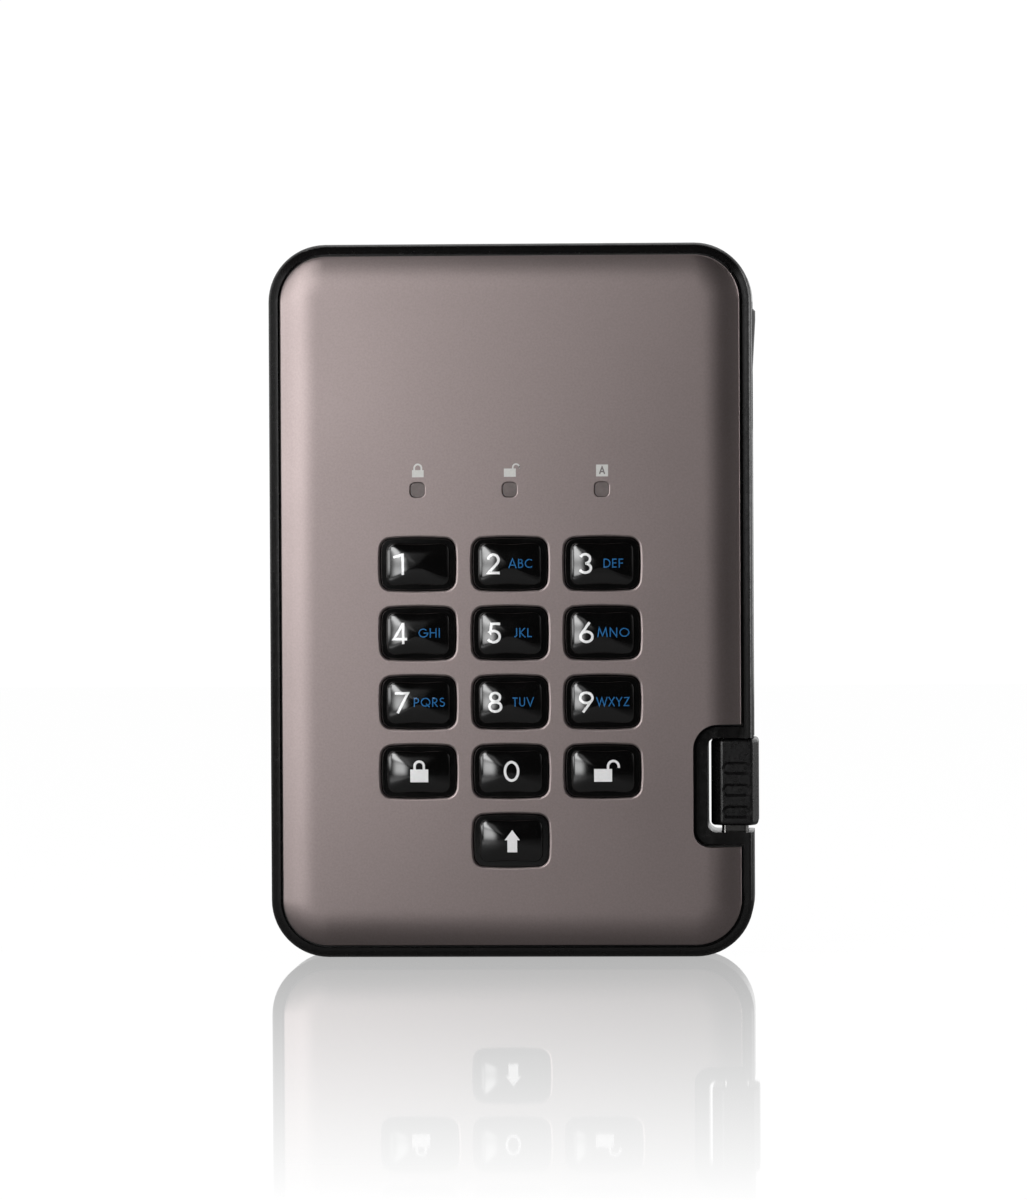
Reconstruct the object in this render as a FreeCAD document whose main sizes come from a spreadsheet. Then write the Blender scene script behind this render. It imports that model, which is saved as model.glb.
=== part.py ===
import FreeCAD, Part
import math
import os
import re

import Sketcher
from FreeCAD import Placement, Rotation, Vector

# Driving sizes in millimetres
SIZES = {
    # bought-in drive
    "drive_width": 69.85,
    "drive_length": 100.45,
    "drive_depth": 7.0,
    "drive_corner": 3.0,
    "drive_shell": 1.0,
    "drive_lid": 0.8,
    "drive_post": 2.4,
    "drive_board": 1.0,
    "memory_width": 14.0,
    "memory_length": 18.0,
    "chip_depth": 1.0,
    # case back
    "foot_rise": 0.6,
    "foot_sink": 0.6,
    "foot_diameter": 9.0,
    "foot_inset": 11.0,
    "back_wall": 1.8,
    "side_wall": 3.2,
    "rim_width": 1.6,
    "case_corner": 10.0,
    "inner_corner": 3.5,
    "back_round": 1.4,
    "rim_round": 0.5,
    "drive_side_gap": 0.4,
    "drive_end_gap": 0.6,
    "drive_pad": 1.8,
    "drive_pad_size": 10.0,
    "lane_gap": 0.65,
    "board_bay": 16.55,
    # face cover and seal
    "cover_gap": 0.5,
    "cover_rise": 2.6,
    "cover_sink": 1.4,
    "cover_wall": 1.4,
    "cover_skirt": 1.2,
    "cover_ceiling": 1.2,
    "roll_width": 6.5,
    "roll_drop": 1.8,
    "edge_round": 0.3,
    "seal_depth": 0.6,
    "seal_reach": 0.35,
    "seal_width": 1.0,
    "hook_length": 8.0,
    "hook_depth": 0.8,
    "hook_bite": 0.5,
    "hook_clear": 0.1,
    "hook_leg": 1.2,
    # keys
    "key_pitch_x": 16.0,
    "key_pitch_y": 12.0,
    "keypad_height": 20.4,
    "opening_width": 13.3,
    "opening_height": 9.4,
    "opening_corner": 1.9,
    "opening_chamfer": 0.4,
    "long_side_radius": 70.0,
    "short_side_radius": 34.0,
    "key_clear": 0.2,
    "key_rise": 0.8,
    "key_drop": 0.75,
    "key_edge_round": 0.8,
    "key_lip": 0.5,
    "key_lip_depth": 0.8,
    "key_stop_gap": 0.1,
    "key_travel": 0.6,
    # key mat and keypad board
    "mat_sheet": 0.8,
    "mat_rise": 1.4,
    "mat_margin": 9.0,
    "mat_end": 7.2,
    "web_wall": 0.6,
    "web_slope": 30.0,
    "plunger_diameter": 5.0,
    "plunger_gap": 0.1,
    "keypad_board": 1.6,
    "board_margin": 4.0,
    "part_gap": 1.9,
    "boss_diameter": 4.6,
    "boss_clear": 0.4,
    "screw_diameter": 2.0,
    "screw_clear": 0.1,
    "screw_head": 3.6,
    "screw_head_depth": 1.1,
    "screw_bite": 2.2,
    # lamps
    "lamp_offset": 12.9,
    "window_size": 2.5,
    "window_corner": 0.8,
    "window_clear": 0.05,
    "window_sink": 0.25,
    "window_chamfer": 0.2,
    "pipe_flange": 4.4,
    "pipe_flange_depth": 0.7,
    "pipe_stem": 2.2,
    "lamp_length": 2.0,
    "lamp_width": 1.25,
    "lamp_depth": 0.8,
    "lamp_gap": 0.1,
    # plug and its dock
    "grip_depth": 8.2,
    "grip_length": 15.05,
    "grip_inner_flank": 1.7,
    "grip_outer_flank": 0.9,
    "grip_flank_depth": 2.4,
    "grip_side_round": 0.8,
    "grip_end_round": 0.7,
    "grip_recess": 0.6,
    "grip_overhang": 0.8,
    "grip_gap": 0.6,
    "grip_end_gap": 0.2,
    "groove_length": 5.2,
    "groove_width": 2.3,
    "groove_depth": 0.5,
    "groove_pitch": 3.8,
    "groove_first": 2.35,
    "shell_width": 12.0,
    "shell_depth": 4.5,
    "shell_length": 12.0,
    "shell_wall": 0.35,
    "shell_show": 1.15,
    "shell_clear": 0.1,
    "tongue_depth": 1.9,
    "tongue_short": 0.4,
    "contact_width": 1.0,
    "contact_depth": 0.15,
    "contact_pitch": 2.3,
    "dock_height": 21.6,
    "dock_band": 1.9,
    "dock_sill": 2.05,
    "dock_corner_high": 3.8,
    "dock_corner_low": 2.4,
    "dock_inner_corner": 1.6,
    "dock_ledge": 2.2,
    "socket_wall": 1.6,
    "socket_spare": 0.4,
    # cable
    "cable_diameter": 3.8,
    "cable_clear": 0.3,
    "channel_wall": 1.6,
    "boot_root": 7.7,
    "boot_tip": 5.6,
    "boot_length": 22.0,
    "boot_from_top": 10.2,
    "boot_round": 1.6,
    "boot_clear": 0.25,
    "sleeve_clear": 0.05,
    "cable_end": 0.4,
    "lead_diameter": 0.7,
    "lead_bend": 1.0,
    "lead_pitch": 0.85,
    # bridge board
    "bridge_lift": 2.2,
    "bridge_board": 1.2,
    "bridge_edge_gap": 0.6,
    "bridge_right_gap": 13.0,
    "bridge_left_gap": 1.6,
    "bridge_length": 13.0,
    "bridge_screw_inset": 3.2,
    "drive_plug_width": 33.0,
    "drive_plug_offset": 13.5,
    "drive_plug_depth": 3.4,
    "drive_plug_base": 1.6,
    "drive_tongue": 1.2,
    "drive_tongue_length": 3.0,
    "drive_plug_clear": 0.3,
    "drive_socket_back": 3.6,
    # flat cable
    "ribbon_width": 10.0,
    "ribbon_depth": 0.3,
    "ribbon_bend": 3.0,
    "ribbon_inset": 21.8,
    "header_width": 13.0,
    "header_length": 4.0,
    "header_depth": 1.5,
}

# Places and sizes that follow from the driving sizes
DERIVED = {
    "plug_inset": "grip_depth / 2 - grip_overhang",
    "dock_reach": "grip_depth - grip_overhang + grip_gap",
    "lane": "lane_gap + dock_band + dock_reach",
    "case_width": "side_wall + drive_side_gap + drive_width + lane",
    "case_height": "2 * side_wall + drive_end_gap + drive_length + board_bay",
    "half_width": "case_width / 2",
    "half_height": "case_height / 2",
    "back_face": "foot_rise",
    "inner_floor": "foot_rise + back_wall",
    "drive_low": "inner_floor + drive_pad",
    "drive_high": "drive_low + drive_depth",
    "drive_left": "drive_side_gap + side_wall - half_width",
    "drive_right": "drive_left + drive_width",
    "drive_bottom": "side_wall + drive_end_gap - half_height",
    "drive_top": "drive_bottom + drive_length",
    "pcb_low": "drive_high + part_gap",
    "pcb_high": "pcb_low + keypad_board",
    "mat_high": "pcb_high + mat_sheet",
    "key_seat": "mat_high + mat_rise",
    "lip_high": "key_seat + key_lip_depth",
    "cover_under": "lip_high + key_stop_gap",
    "cover_face": "cover_under + cover_wall",
    "key_crest": "cover_face + key_rise",
    "rim_face": "cover_face - cover_rise",
    "skirt_low": "rim_face - cover_sink",
    "ledge": "skirt_low - seal_depth",
    "side_middle": "(back_face + rim_face) / 2",
    "cover_inset": "rim_width + cover_gap",
    "cover_x": "half_width - cover_inset",
    "cover_y": "half_height - cover_inset",
    "cover_corner": "case_corner - cover_inset",
    "row_low": "keypad_height - half_height",
    "row_top": "row_low + 4 * key_pitch_y",
    "lamp_row": "row_top + lamp_offset",
    "key_width": "opening_width - 2 * key_clear",
    "key_height": "opening_height - 2 * key_clear",
    "key_corner": "opening_corner - key_clear",
    "dock_low": "dock_height - half_height",
    "grip_low": "dock_low + shell_show",
    "grip_high": "grip_low + grip_length",
    "dock_high": "grip_high + grip_end_gap",
    "dock_side": "half_width - dock_reach",
    "band_side": "dock_side - dock_band",
    "band_high": "dock_high + dock_band",
    "band_low": "dock_low - dock_sill",
    "cut_side": "band_side - cover_gap",
    "cut_high": "band_high + cover_gap",
    "cut_low": "band_low - cover_gap",
    "plug_axis": "half_width - plug_inset",
    "boot_high": "half_height - boot_from_top",
    "boot_low": "boot_high - boot_length",
    "end_wall_high": "boot_high + channel_wall",
    "cable_high": "end_wall_high + cable_end",
    "bridge_low": "inner_floor + bridge_lift",
    "bridge_high": "bridge_low + bridge_board",
    "bridge_top": "half_height - side_wall - bridge_edge_gap",
    "bridge_bottom": "bridge_top - bridge_length",
    "bridge_left": "drive_left + bridge_left_gap",
    "bridge_right": "half_width - bridge_right_gap",
    "ribbon_place": "bridge_left + ribbon_inset",
    "drive_pcb_low": "drive_low + drive_shell + drive_post",
    "drive_pcb_high": "drive_pcb_low + drive_board",
    "drive_plug_x": "(drive_left + drive_right) / 2 + drive_plug_offset",
    "drive_plug_low": "drive_pcb_low + (drive_board - drive_plug_depth) / 2",
    "drive_plug_back": "drive_top - drive_tongue_length - drive_plug_base - drive_plug_clear",
    "drive_tongue_low": "drive_pcb_low + (drive_board - drive_tongue) / 2",
}

ROWS = [
    ("key_1", -1, 4), ("key_2", 0, 4), ("key_3", 1, 4),
    ("key_4", -1, 3), ("key_5", 0, 3), ("key_6", 1, 3),
    ("key_7", -1, 2), ("key_8", 0, 2), ("key_9", 1, 2),
    ("key_lock", -1, 1), ("key_0", 0, 1), ("key_unlock", 1, 1),
    ("key_shift", 0, 0),
]
LAMPS = [("locked", -1), ("unlocked", 0), ("admin", 1)]

doc = FreeCAD.newDocument("drive")
sheet = doc.addObject("Spreadsheet::Sheet", "Dims")
for line, (name, size) in enumerate(SIZES.items(), 1):
    sheet.set("A%d" % line, name)
    sheet.set("B%d" % line, str(size))
    sheet.setAlias("B%d" % line, name)
doc.recompute()

pieces = []


def bind(text):
    """Turn a text of size names into an expression on the sheet."""
    def swap(match):
        word = match.group(0)
        if word in DERIVED:
            return "(" + bind(DERIVED[word]) + ")"
        if word in SIZES:
            return "Dims." + word
        return word
    return re.sub(r"[a-z][a-z_0-9]*", swap, str(text))


def number(text):
    return float(sheet.evalExpression(bind(text)))


def new_body(label):
    body = doc.addObject("PartDesign::Body", label)
    body.Label = label
    pieces.append((body, "0", "0"))
    return body


def new_sketch(body, name, offset="0", plane="XY_Plane"):
    sketch = body.newObject("Sketcher::SketchObject", name)
    support = [o for o in body.Origin.OriginFeatures if o.Role == plane][0]
    sketch.AttachmentSupport = [(support, "")]
    sketch.MapMode = "FlatFace"
    sketch.setExpression("AttachmentOffset.Base.z", bind(offset))
    return sketch


def fix(sketch, kind, where, text):
    """Add one dimension and bind it to the sheet."""
    index = sketch.addConstraint(Sketcher.Constraint(kind, *where, number(text)))
    name = "size_%d" % index
    sketch.renameConstraint(index, name)
    sketch.setExpression("Constraints." + name, bind(text))


def place_point(sketch, geometry, point, x, y):
    fix(sketch, "DistanceX", (-1, 1, geometry, point), x)
    fix(sketch, "DistanceY", (-1, 1, geometry, point), y)


def segment(sketch, start, end):
    return sketch.addGeometry(Part.LineSegment(Vector(*start, 0), Vector(*end, 0)), False)


def arc(sketch, centre, radius, start, end):
    circle_part = Part.Circle(Vector(*centre, 0), Vector(0, 0, 1), radius)
    return sketch.addGeometry(Part.ArcOfCircle(circle_part, start, end), False)


def disc(sketch, x, y, radius):
    shape = Part.Circle(Vector(number(x), number(y), 0), Vector(0, 0, 1), number(radius))
    geometry = sketch.addGeometry(shape, False)
    fix(sketch, "Radius", (geometry,), radius)
    place_point(sketch, geometry, 3, x, y)


def polygon(sketch, corners):
    """A closed outline of straight lines through corners given as size texts."""
    points = [(number(x), number(y)) for x, y in corners]
    count = len(points)
    lines = [segment(sketch, points[i], points[(i + 1) % count]) for i in range(count)]
    for i in range(count):
        sketch.addConstraint(Sketcher.Constraint("Coincident", lines[i], 2, lines[(i + 1) % count], 1))
    for line, (x, y) in zip(lines, corners):
        place_point(sketch, line, 1, x, y)


def box(sketch, left, right, low, high):
    polygon(sketch, [(left, low), (right, low), (right, high), (left, high)])


def rounded(sketch, left, right, low, high, radius):
    """A rectangle with four equal round corners."""
    x0, x1, y0, y1, r = [number(t) for t in (left, right, low, high, radius)]
    half = math.pi / 2
    line_low = segment(sketch, (x0 + r, y0), (x1 - r, y0))
    arc_a = arc(sketch, (x1 - r, y0 + r), r, -half, 0)
    line_right = segment(sketch, (x1, y0 + r), (x1, y1 - r))
    arc_b = arc(sketch, (x1 - r, y1 - r), r, 0, half)
    line_high = segment(sketch, (x1 - r, y1), (x0 + r, y1))
    arc_c = arc(sketch, (x0 + r, y1 - r), r, half, 2 * half)
    line_left = segment(sketch, (x0, y1 - r), (x0, y0 + r))
    arc_d = arc(sketch, (x0 + r, y0 + r), r, 2 * half, 3 * half)
    loop = [line_low, arc_a, line_right, arc_b, line_high, arc_c, line_left, arc_d]
    for i in range(8):
        sketch.addConstraint(Sketcher.Constraint("Tangent", loop[i], 2, loop[(i + 1) % 8], 1))
    sketch.addConstraint(Sketcher.Constraint("Horizontal", line_low))
    sketch.addConstraint(Sketcher.Constraint("Horizontal", line_high))
    sketch.addConstraint(Sketcher.Constraint("Vertical", line_left))
    sketch.addConstraint(Sketcher.Constraint("Vertical", line_right))
    for other in (arc_b, arc_c, arc_d):
        sketch.addConstraint(Sketcher.Constraint("Equal", arc_a, other))
    fix(sketch, "Radius", (arc_a,), radius)
    fix(sketch, "DistanceX", (-1, 1, line_left, 1), left)
    fix(sketch, "DistanceX", (-1, 1, line_right, 1), right)
    fix(sketch, "DistanceY", (-1, 1, line_low, 1), low)
    fix(sketch, "DistanceY", (-1, 1, line_high, 1), high)


def notch(sketch, left, right, low, high, radius_low, radius_high):
    """A rectangle whose two left corners are round, each to its own radius."""
    x0, x1, y0, y1 = [number(t) for t in (left, right, low, high)]
    r0, r1 = number(radius_low), number(radius_high)
    half = math.pi / 2
    line_low = segment(sketch, (x0 + r0, y0), (x1, y0))
    line_right = segment(sketch, (x1, y0), (x1, y1))
    line_high = segment(sketch, (x1, y1), (x0 + r1, y1))
    arc_high = arc(sketch, (x0 + r1, y1 - r1), r1, half, 2 * half)
    line_left = segment(sketch, (x0, y1 - r1), (x0, y0 + r0))
    arc_low = arc(sketch, (x0 + r0, y0 + r0), r0, 2 * half, 3 * half)
    sketch.addConstraint(Sketcher.Constraint("Coincident", line_low, 2, line_right, 1))
    sketch.addConstraint(Sketcher.Constraint("Coincident", line_right, 2, line_high, 1))
    sketch.addConstraint(Sketcher.Constraint("Tangent", line_high, 2, arc_high, 1))
    sketch.addConstraint(Sketcher.Constraint("Tangent", arc_high, 2, line_left, 1))
    sketch.addConstraint(Sketcher.Constraint("Tangent", line_left, 2, arc_low, 1))
    sketch.addConstraint(Sketcher.Constraint("Tangent", arc_low, 2, line_low, 1))
    sketch.addConstraint(Sketcher.Constraint("Horizontal", line_low))
    sketch.addConstraint(Sketcher.Constraint("Vertical", line_right))
    sketch.addConstraint(Sketcher.Constraint("Horizontal", line_high))
    sketch.addConstraint(Sketcher.Constraint("Vertical", line_left))
    fix(sketch, "Radius", (arc_low,), radius_low)
    fix(sketch, "Radius", (arc_high,), radius_high)
    fix(sketch, "DistanceX", (-1, 1, line_left, 1), left)
    fix(sketch, "DistanceX", (-1, 1, line_right, 1), right)
    fix(sketch, "DistanceY", (-1, 1, line_low, 2), low)
    fix(sketch, "DistanceY", (-1, 1, line_high, 1), high)


def cushion(sketch, x, y, width, height, corner):
    """A rectangle with slightly bowed sides and round corners, as the keys have."""
    cx, cy = number(x), number(y)
    w, h, r = number(width) / 2, number(height) / 2, number(corner)
    long_r, short_r = number("long_side_radius"), number("short_side_radius")
    # corner centre: where the two inner offsets of the side arcs cross
    down, back = long_r - h, short_r - w
    apart = math.hypot(down, back)
    along = ((long_r - r) ** 2 - (short_r - r) ** 2 + apart ** 2) / (2 * apart)
    across = math.sqrt((long_r - r) ** 2 - along ** 2)
    px = -along * back / apart + across * down / apart
    py = -down + along * down / apart + across * back / apart
    tilt_long = math.atan2(px, py + long_r - h)
    tilt_short = math.atan2(py, px + short_r - w)
    half = math.pi / 2
    low = arc(sketch, (cx, cy - h + long_r), long_r, 3 * half - tilt_long, 3 * half + tilt_long)
    a = arc(sketch, (cx + px, cy - py), r, tilt_long - half, -tilt_short)
    right = arc(sketch, (cx + w - short_r, cy), short_r, -tilt_short, tilt_short)
    b = arc(sketch, (cx + px, cy + py), r, tilt_short, half - tilt_long)
    high = arc(sketch, (cx, cy + h - long_r), long_r, half - tilt_long, half + tilt_long)
    c = arc(sketch, (cx - px, cy + py), r, half + tilt_long, 2 * half - tilt_short)
    left = arc(sketch, (cx - w + short_r, cy), short_r, 2 * half - tilt_short, 2 * half + tilt_short)
    d = arc(sketch, (cx - px, cy - py), r, 2 * half + tilt_short, 3 * half - tilt_long)
    loop = [low, a, right, b, high, c, left, d]
    for i in range(8):
        sketch.addConstraint(Sketcher.Constraint("Tangent", loop[i], 2, loop[(i + 1) % 8], 1))
    for other in (b, c, d):
        sketch.addConstraint(Sketcher.Constraint("Equal", a, other))
    sketch.addConstraint(Sketcher.Constraint("Equal", low, high))
    sketch.addConstraint(Sketcher.Constraint("Equal", left, right))
    fix(sketch, "Radius", (a,), corner)
    fix(sketch, "Radius", (low,), "long_side_radius")
    fix(sketch, "Radius", (left,), "short_side_radius")
    place_point(sketch, low, 3, x, "%s - (%s) / 2 + long_side_radius" % (y, height))
    place_point(sketch, high, 3, x, "%s + (%s) / 2 - long_side_radius" % (y, height))
    place_point(sketch, left, 3, "%s - (%s) / 2 + short_side_radius" % (x, width), y)
    place_point(sketch, right, 3, "%s + (%s) / 2 - short_side_radius" % (x, width), y)


def feature(body, kind, name, sketch, length, up, slope=None):
    made = body.newObject("PartDesign::" + kind, name)
    made.Profile = sketch
    made.setExpression("Length", bind(length))
    made.Reversed = up if kind == "Pocket" else not up
    if slope:
        made.setExpression("TaperAngle", bind(slope))
    sketch.Visibility = False
    return made


def pad(body, name, sketch, length, up=True, slope=None):
    return feature(body, "Pad", name, sketch, length, up, slope)


def cut(body, name, sketch, length, up=False, slope=None):
    return feature(body, "Pocket", name, sketch, length, up, slope)


def cut_across(body, name, sketch, length):
    made = feature(body, "Pocket", name, sketch, length, True)
    made.Midplane = True
    return made


def row_pattern(body, name, originals, axis, length, count, axis_2=None, length_2=None, count_2=1):
    made = body.newObject("PartDesign::LinearPattern", name)
    made.Originals = originals
    axes = {o.Role: o for o in body.Origin.OriginFeatures}
    made.Direction = (axes[axis], [""])
    made.setExpression("Length", bind(length))
    made.Occurrences = count
    if axis_2:
        made.Direction2 = (axes[axis_2], [""])
        made.setExpression("Length2", bind(length_2))
        made.Occurrences2 = count_2
    body.Tip = made
    return made


def round_edges(body, name, radius, test):
    doc.recompute()
    last = body.Tip
    picked = ["Edge%d" % i for i, e in enumerate(last.Shape.Edges, 1) if test(e.BoundBox)]
    made = body.newObject("PartDesign::Fillet", name)
    made.Base = (last, picked)
    made.setExpression("Radius", bind(radius))
    return made


def level(text):
    """A test for edges that lie flat at one height."""
    height = number(text)
    return lambda b: abs(b.ZMin - height) < 1e-4 and abs(b.ZMax - height) < 1e-4


def plate(label, low, depth, draw):
    """A body that is one drawn outline padded upwards."""
    body = new_body(label)
    sketch = new_sketch(body, label + "_outline", low)
    draw(sketch)
    pad(body, label + "_pad", sketch, depth)
    return body


def pad_from(body, name, low, high, draw):
    sketch = new_sketch(body, name + "_outline", low)
    draw(sketch)
    return pad(body, name, sketch, "(%s) - (%s)" % (high, low))


def cut_from(body, name, high, low, draw):
    sketch = new_sketch(body, name + "_outline", high)
    draw(sketch)
    return cut(body, name, sketch, "(%s) - (%s)" % (high, low))


def case_outline(inset, corner):
    return lambda s: rounded(
        s, "%s - half_width" % inset, "half_width - %s" % inset,
        "%s - half_height" % inset, "half_height - %s" % inset, corner)


def dock_outline(grow, right):
    """The cut-out of the cover round the dock, grown into the cover by a wall."""
    return lambda s: notch(
        s, "cut_side - %s" % grow, right, "cut_low - %s" % grow, "cut_high + %s" % grow,
        "dock_corner_low + cover_gap + %s" % grow, "dock_corner_high + cover_gap + %s" % grow)


def hook_outline(sketch, inner, outer, spare):
    """Six snap hooks inside the wall, between two insets, with some spare room at their ends."""
    half = "(hook_length / 2 + %s)" % spare
    for side in ("-1", "1"):
        place = "%s * half_height / 2" % side
        box(sketch, "%s - half_width" % outer, "%s - half_width" % inner,
            "%s - %s" % (place, half), "%s + %s" % (place, half))
        place = "%s * half_width / 2" % side
        box(sketch, "%s - %s" % (place, half), "%s + %s" % (place, half),
            "half_height - %s" % inner, "half_height - %s" % outer)
        box(sketch, "%s - %s" % (place, half), "%s + %s" % (place, half),
            "%s - half_height" % outer, "%s - half_height" % inner)


def key_grid(body, name, originals_of):
    """Make one feature set for the middle column and one for the side columns, and repeat them."""
    middle = originals_of(name + "_middle", "0", "row_low")
    row_pattern(body, name + "_column", middle, "Y_Axis", "4 * key_pitch_y", 5)
    sides = originals_of(name + "_side", "-key_pitch_x", "row_low + key_pitch_y")
    row_pattern(body, name + "_sides", sides, "Y_Axis", "3 * key_pitch_y", 4,
                "X_Axis", "2 * key_pitch_x", 2)


# Case back
case = plate("case_back", "back_face", "rim_face - back_face", case_outline("0", "case_corner"))
round_edges(case, "back_edge", "back_round", level("back_face"))
round_edges(case, "rim_edge", "rim_round", level("rim_face"))
cut_from(case, "rim_well", "rim_face", "ledge", case_outline("rim_width", "case_corner - rim_width"))
cut_from(case, "upper_well", "ledge", "drive_high + drive_side_gap",
         case_outline("side_wall", "case_corner - side_wall"))
cut_from(case, "drive_well", "drive_high + drive_side_gap", "inner_floor",
         case_outline("side_wall", "inner_corner"))
pad_from(case, "dock_wall", "back_face + back_round", "rim_face", lambda s: notch(
    s, "band_side", "half_width - rim_width / 2", "band_low", "band_high",
    "dock_corner_low", "dock_corner_high"))
pad_from(case, "dock_ledge_rib", "ledge - dock_ledge", "ledge",
         dock_outline("(cover_skirt + seal_width) / 2", "half_width - rim_width"))
pad_from(case, "plug_socket_wall", "back_face + back_round", "ledge", lambda s: box(
    s, "plug_axis - shell_depth / 2 - shell_clear - socket_wall", "half_width - rim_width",
    "dock_low + shell_show - shell_length - socket_spare - socket_wall", "band_low + dock_sill / 2"))
pad_from(case, "channel_wall_block", "back_face + back_round", "ledge", lambda s: box(
    s, "plug_axis - cable_diameter / 2 - cable_clear - channel_wall", "half_width - rim_width",
    "band_high - dock_band / 2", "boot_low"))
pad_from(case, "boot_wall_block", "back_face + back_round", "ledge", lambda s: box(
    s, "plug_axis - boot_root / 2 - boot_clear - channel_wall", "half_width - rim_width",
    "boot_low - channel_wall", "end_wall_high"))
cut_from(case, "dock", "rim_face + 1", "back_face - 1", lambda s: notch(
    s, "dock_side", "half_width + 2", "dock_low", "dock_high", "dock_inner_corner", "dock_inner_corner"))
cut_from(case, "plug_socket", "side_middle + shell_width / 2 + shell_clear",
         "side_middle - shell_width / 2 - shell_clear", lambda s: box(
             s, "plug_axis - shell_depth / 2 - shell_clear", "plug_axis + shell_depth / 2 + shell_clear",
             "grip_low - shell_length - socket_spare", "dock_low + 1"))
cut_from(case, "channel", "side_middle + cable_diameter / 2 + cable_clear",
         "side_middle - cable_diameter / 2 - cable_clear", lambda s: box(
             s, "plug_axis - cable_diameter / 2 - cable_clear", "half_width + 2",
             "dock_high - 1", "boot_low + 1"))
cut_from(case, "boot_channel", "side_middle + boot_root / 2 + boot_clear",
         "side_middle - boot_root / 2 - boot_clear", lambda s: box(
             s, "plug_axis - boot_root / 2 - boot_clear", "half_width + 2", "boot_low - boot_clear", "boot_high"))
cable_exit = new_sketch(case, "cable_exit_outline", "-(boot_high - 1)", "XZ_Plane")
disc(cable_exit, "plug_axis", "side_middle", "cable_diameter / 2 + sleeve_clear")
cut(case, "cable_exit", cable_exit, "channel_wall + 1.5")
cut_from(case, "lead_well", "side_middle + cable_diameter / 2 + cable_clear",
         "side_middle - cable_diameter / 2 - cable_clear", lambda s: box(
             s, "plug_axis - cable_diameter", "plug_axis + cable_diameter / 2 + sleeve_clear",
             "end_wall_high", "cable_high + lead_bend + lead_diameter / 2 + 0.1"))
bridge_posts = [("bridge_left + bridge_screw_inset", "bridge_top - bridge_screw_inset"),
                ("bridge_right - 4 * bridge_screw_inset", "bridge_top - bridge_screw_inset")]


def bridge_discs(sketch, radius):
    for x, y in bridge_posts:
        disc(sketch, x, y, radius)


pad_from(case, "bridge_bosses", "inner_floor - 0.2", "bridge_low",
         lambda s: bridge_discs(s, "boss_diameter / 2"))
cut_from(case, "bridge_pilots", "bridge_low", "bridge_low - screw_bite",
         lambda s: bridge_discs(s, "screw_diameter / 2 + screw_clear / 2"))
foot_places = [(x, y) for x in ("foot_inset - half_width", "half_width - foot_inset")
               for y in ("foot_inset - half_height", "half_height - foot_inset")]


def foot_discs(sketch, radius):
    for x, y in foot_places:
        disc(sketch, x, y, radius)


cut_from(case, "foot_wells", "back_face + foot_sink", "back_face - 1",
         lambda s: foot_discs(s, "foot_diameter / 2 + sleeve_clear"))
hook_low = "(ledge - dock_ledge)"
cut_from(case, "hook_slots", hook_low + " + hook_depth + hook_clear", hook_low + " - hook_clear",
         lambda s: hook_outline(s, "(side_wall + hook_clear)", "(side_wall - hook_bite - hook_clear)", "hook_clear"))

# Rubber feet
for index, (x, y) in enumerate(foot_places, 1):
    foot = plate("foot_%d" % index, "0", "back_face + foot_sink",
                 lambda s, x=x, y=y: disc(s, x, y, "foot_diameter / 2"))
    round_edges(foot, "foot_edge", "foot_rise / 2", level("0"))

# Face cover
cover = plate("face_cover", "skirt_low", "cover_face - skirt_low", lambda s: rounded(
    s, "-(cover_x)", "cover_x", "-(cover_y)", "cover_y", "cover_corner"))
cover_path = [o for o in doc.Objects if o.Name.startswith("face_cover_outline")][0]
roll = new_sketch(cover, "roll_profile", "0", "XZ_Plane")
roll_radius = "((roll_width * roll_width + roll_drop * roll_drop) / (2 * roll_drop))"
roll_r = number(roll_radius)
roll_x = number("cover_x - roll_width")
roll_top = number("cover_face")
roll_tilt = math.asin(number("roll_width") / roll_r)
roll_end = (number("cover_x"), number("cover_face - roll_drop"))
roll_arc = arc(roll, (roll_x, roll_top - roll_r), roll_r, math.pi / 2 - roll_tilt, math.pi / 2)
roll_up = segment(roll, (roll_x, roll_top), (roll_x, roll_top + 1))
roll_over = segment(roll, (roll_x, roll_top + 1), (roll_end[0] + 1, roll_top + 1))
roll_down = segment(roll, (roll_end[0] + 1, roll_top + 1), (roll_end[0] + 1, roll_end[1]))
roll_in = segment(roll, (roll_end[0] + 1, roll_end[1]), roll_end)
roll_loop = [roll_arc, roll_up, roll_over, roll_down, roll_in]
for i in range(5):
    roll.addConstraint(Sketcher.Constraint("Coincident", roll_loop[i], 2, roll_loop[(i + 1) % 5], 1))
place_point(roll, roll_arc, 3, "cover_x - roll_width", "cover_face - " + roll_radius)
place_point(roll, roll_arc, 2, "cover_x - roll_width", "cover_face")
place_point(roll, roll_over, 1, "cover_x - roll_width", "cover_face + 1")
place_point(roll, roll_down, 1, "cover_x + 1", "cover_face + 1")
place_point(roll, roll_in, 1, "cover_x + 1", "cover_face - roll_drop")
fix(roll, "DistanceX", (-1, 1, roll_in, 2), "cover_x")
doc.recompute()
rolled = cover.newObject("PartDesign::SubtractivePipe", "rolled_edge")
rolled.Profile = roll
rolled.Spine = (cover_path, ["Edge%d" % i for i in range(1, 9)])
rolled.Transition = "Transformed"
round_edges(cover, "cover_edge", "edge_round", level("cover_face - roll_drop"))
cut_up = "cover_under - cover_ceiling"
skirt_well = new_sketch(cover, "skirt_well_outline", "skirt_low")
rounded(skirt_well, "cover_skirt - cover_x", "cover_x - cover_skirt",
        "cover_skirt - cover_y", "cover_y - cover_skirt", "cover_corner - cover_skirt")
cut(cover, "skirt_well", skirt_well, cut_up + " - skirt_low", True)
face_well = new_sketch(cover, "face_well_outline", cut_up)
rounded(face_well, "roll_width - cover_x", "cover_x - roll_width",
        "roll_width - cover_y", "cover_y - roll_width", "cover_corner - roll_width + cover_skirt")
cut(cover, "face_well", face_well, "cover_ceiling", True)
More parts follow.
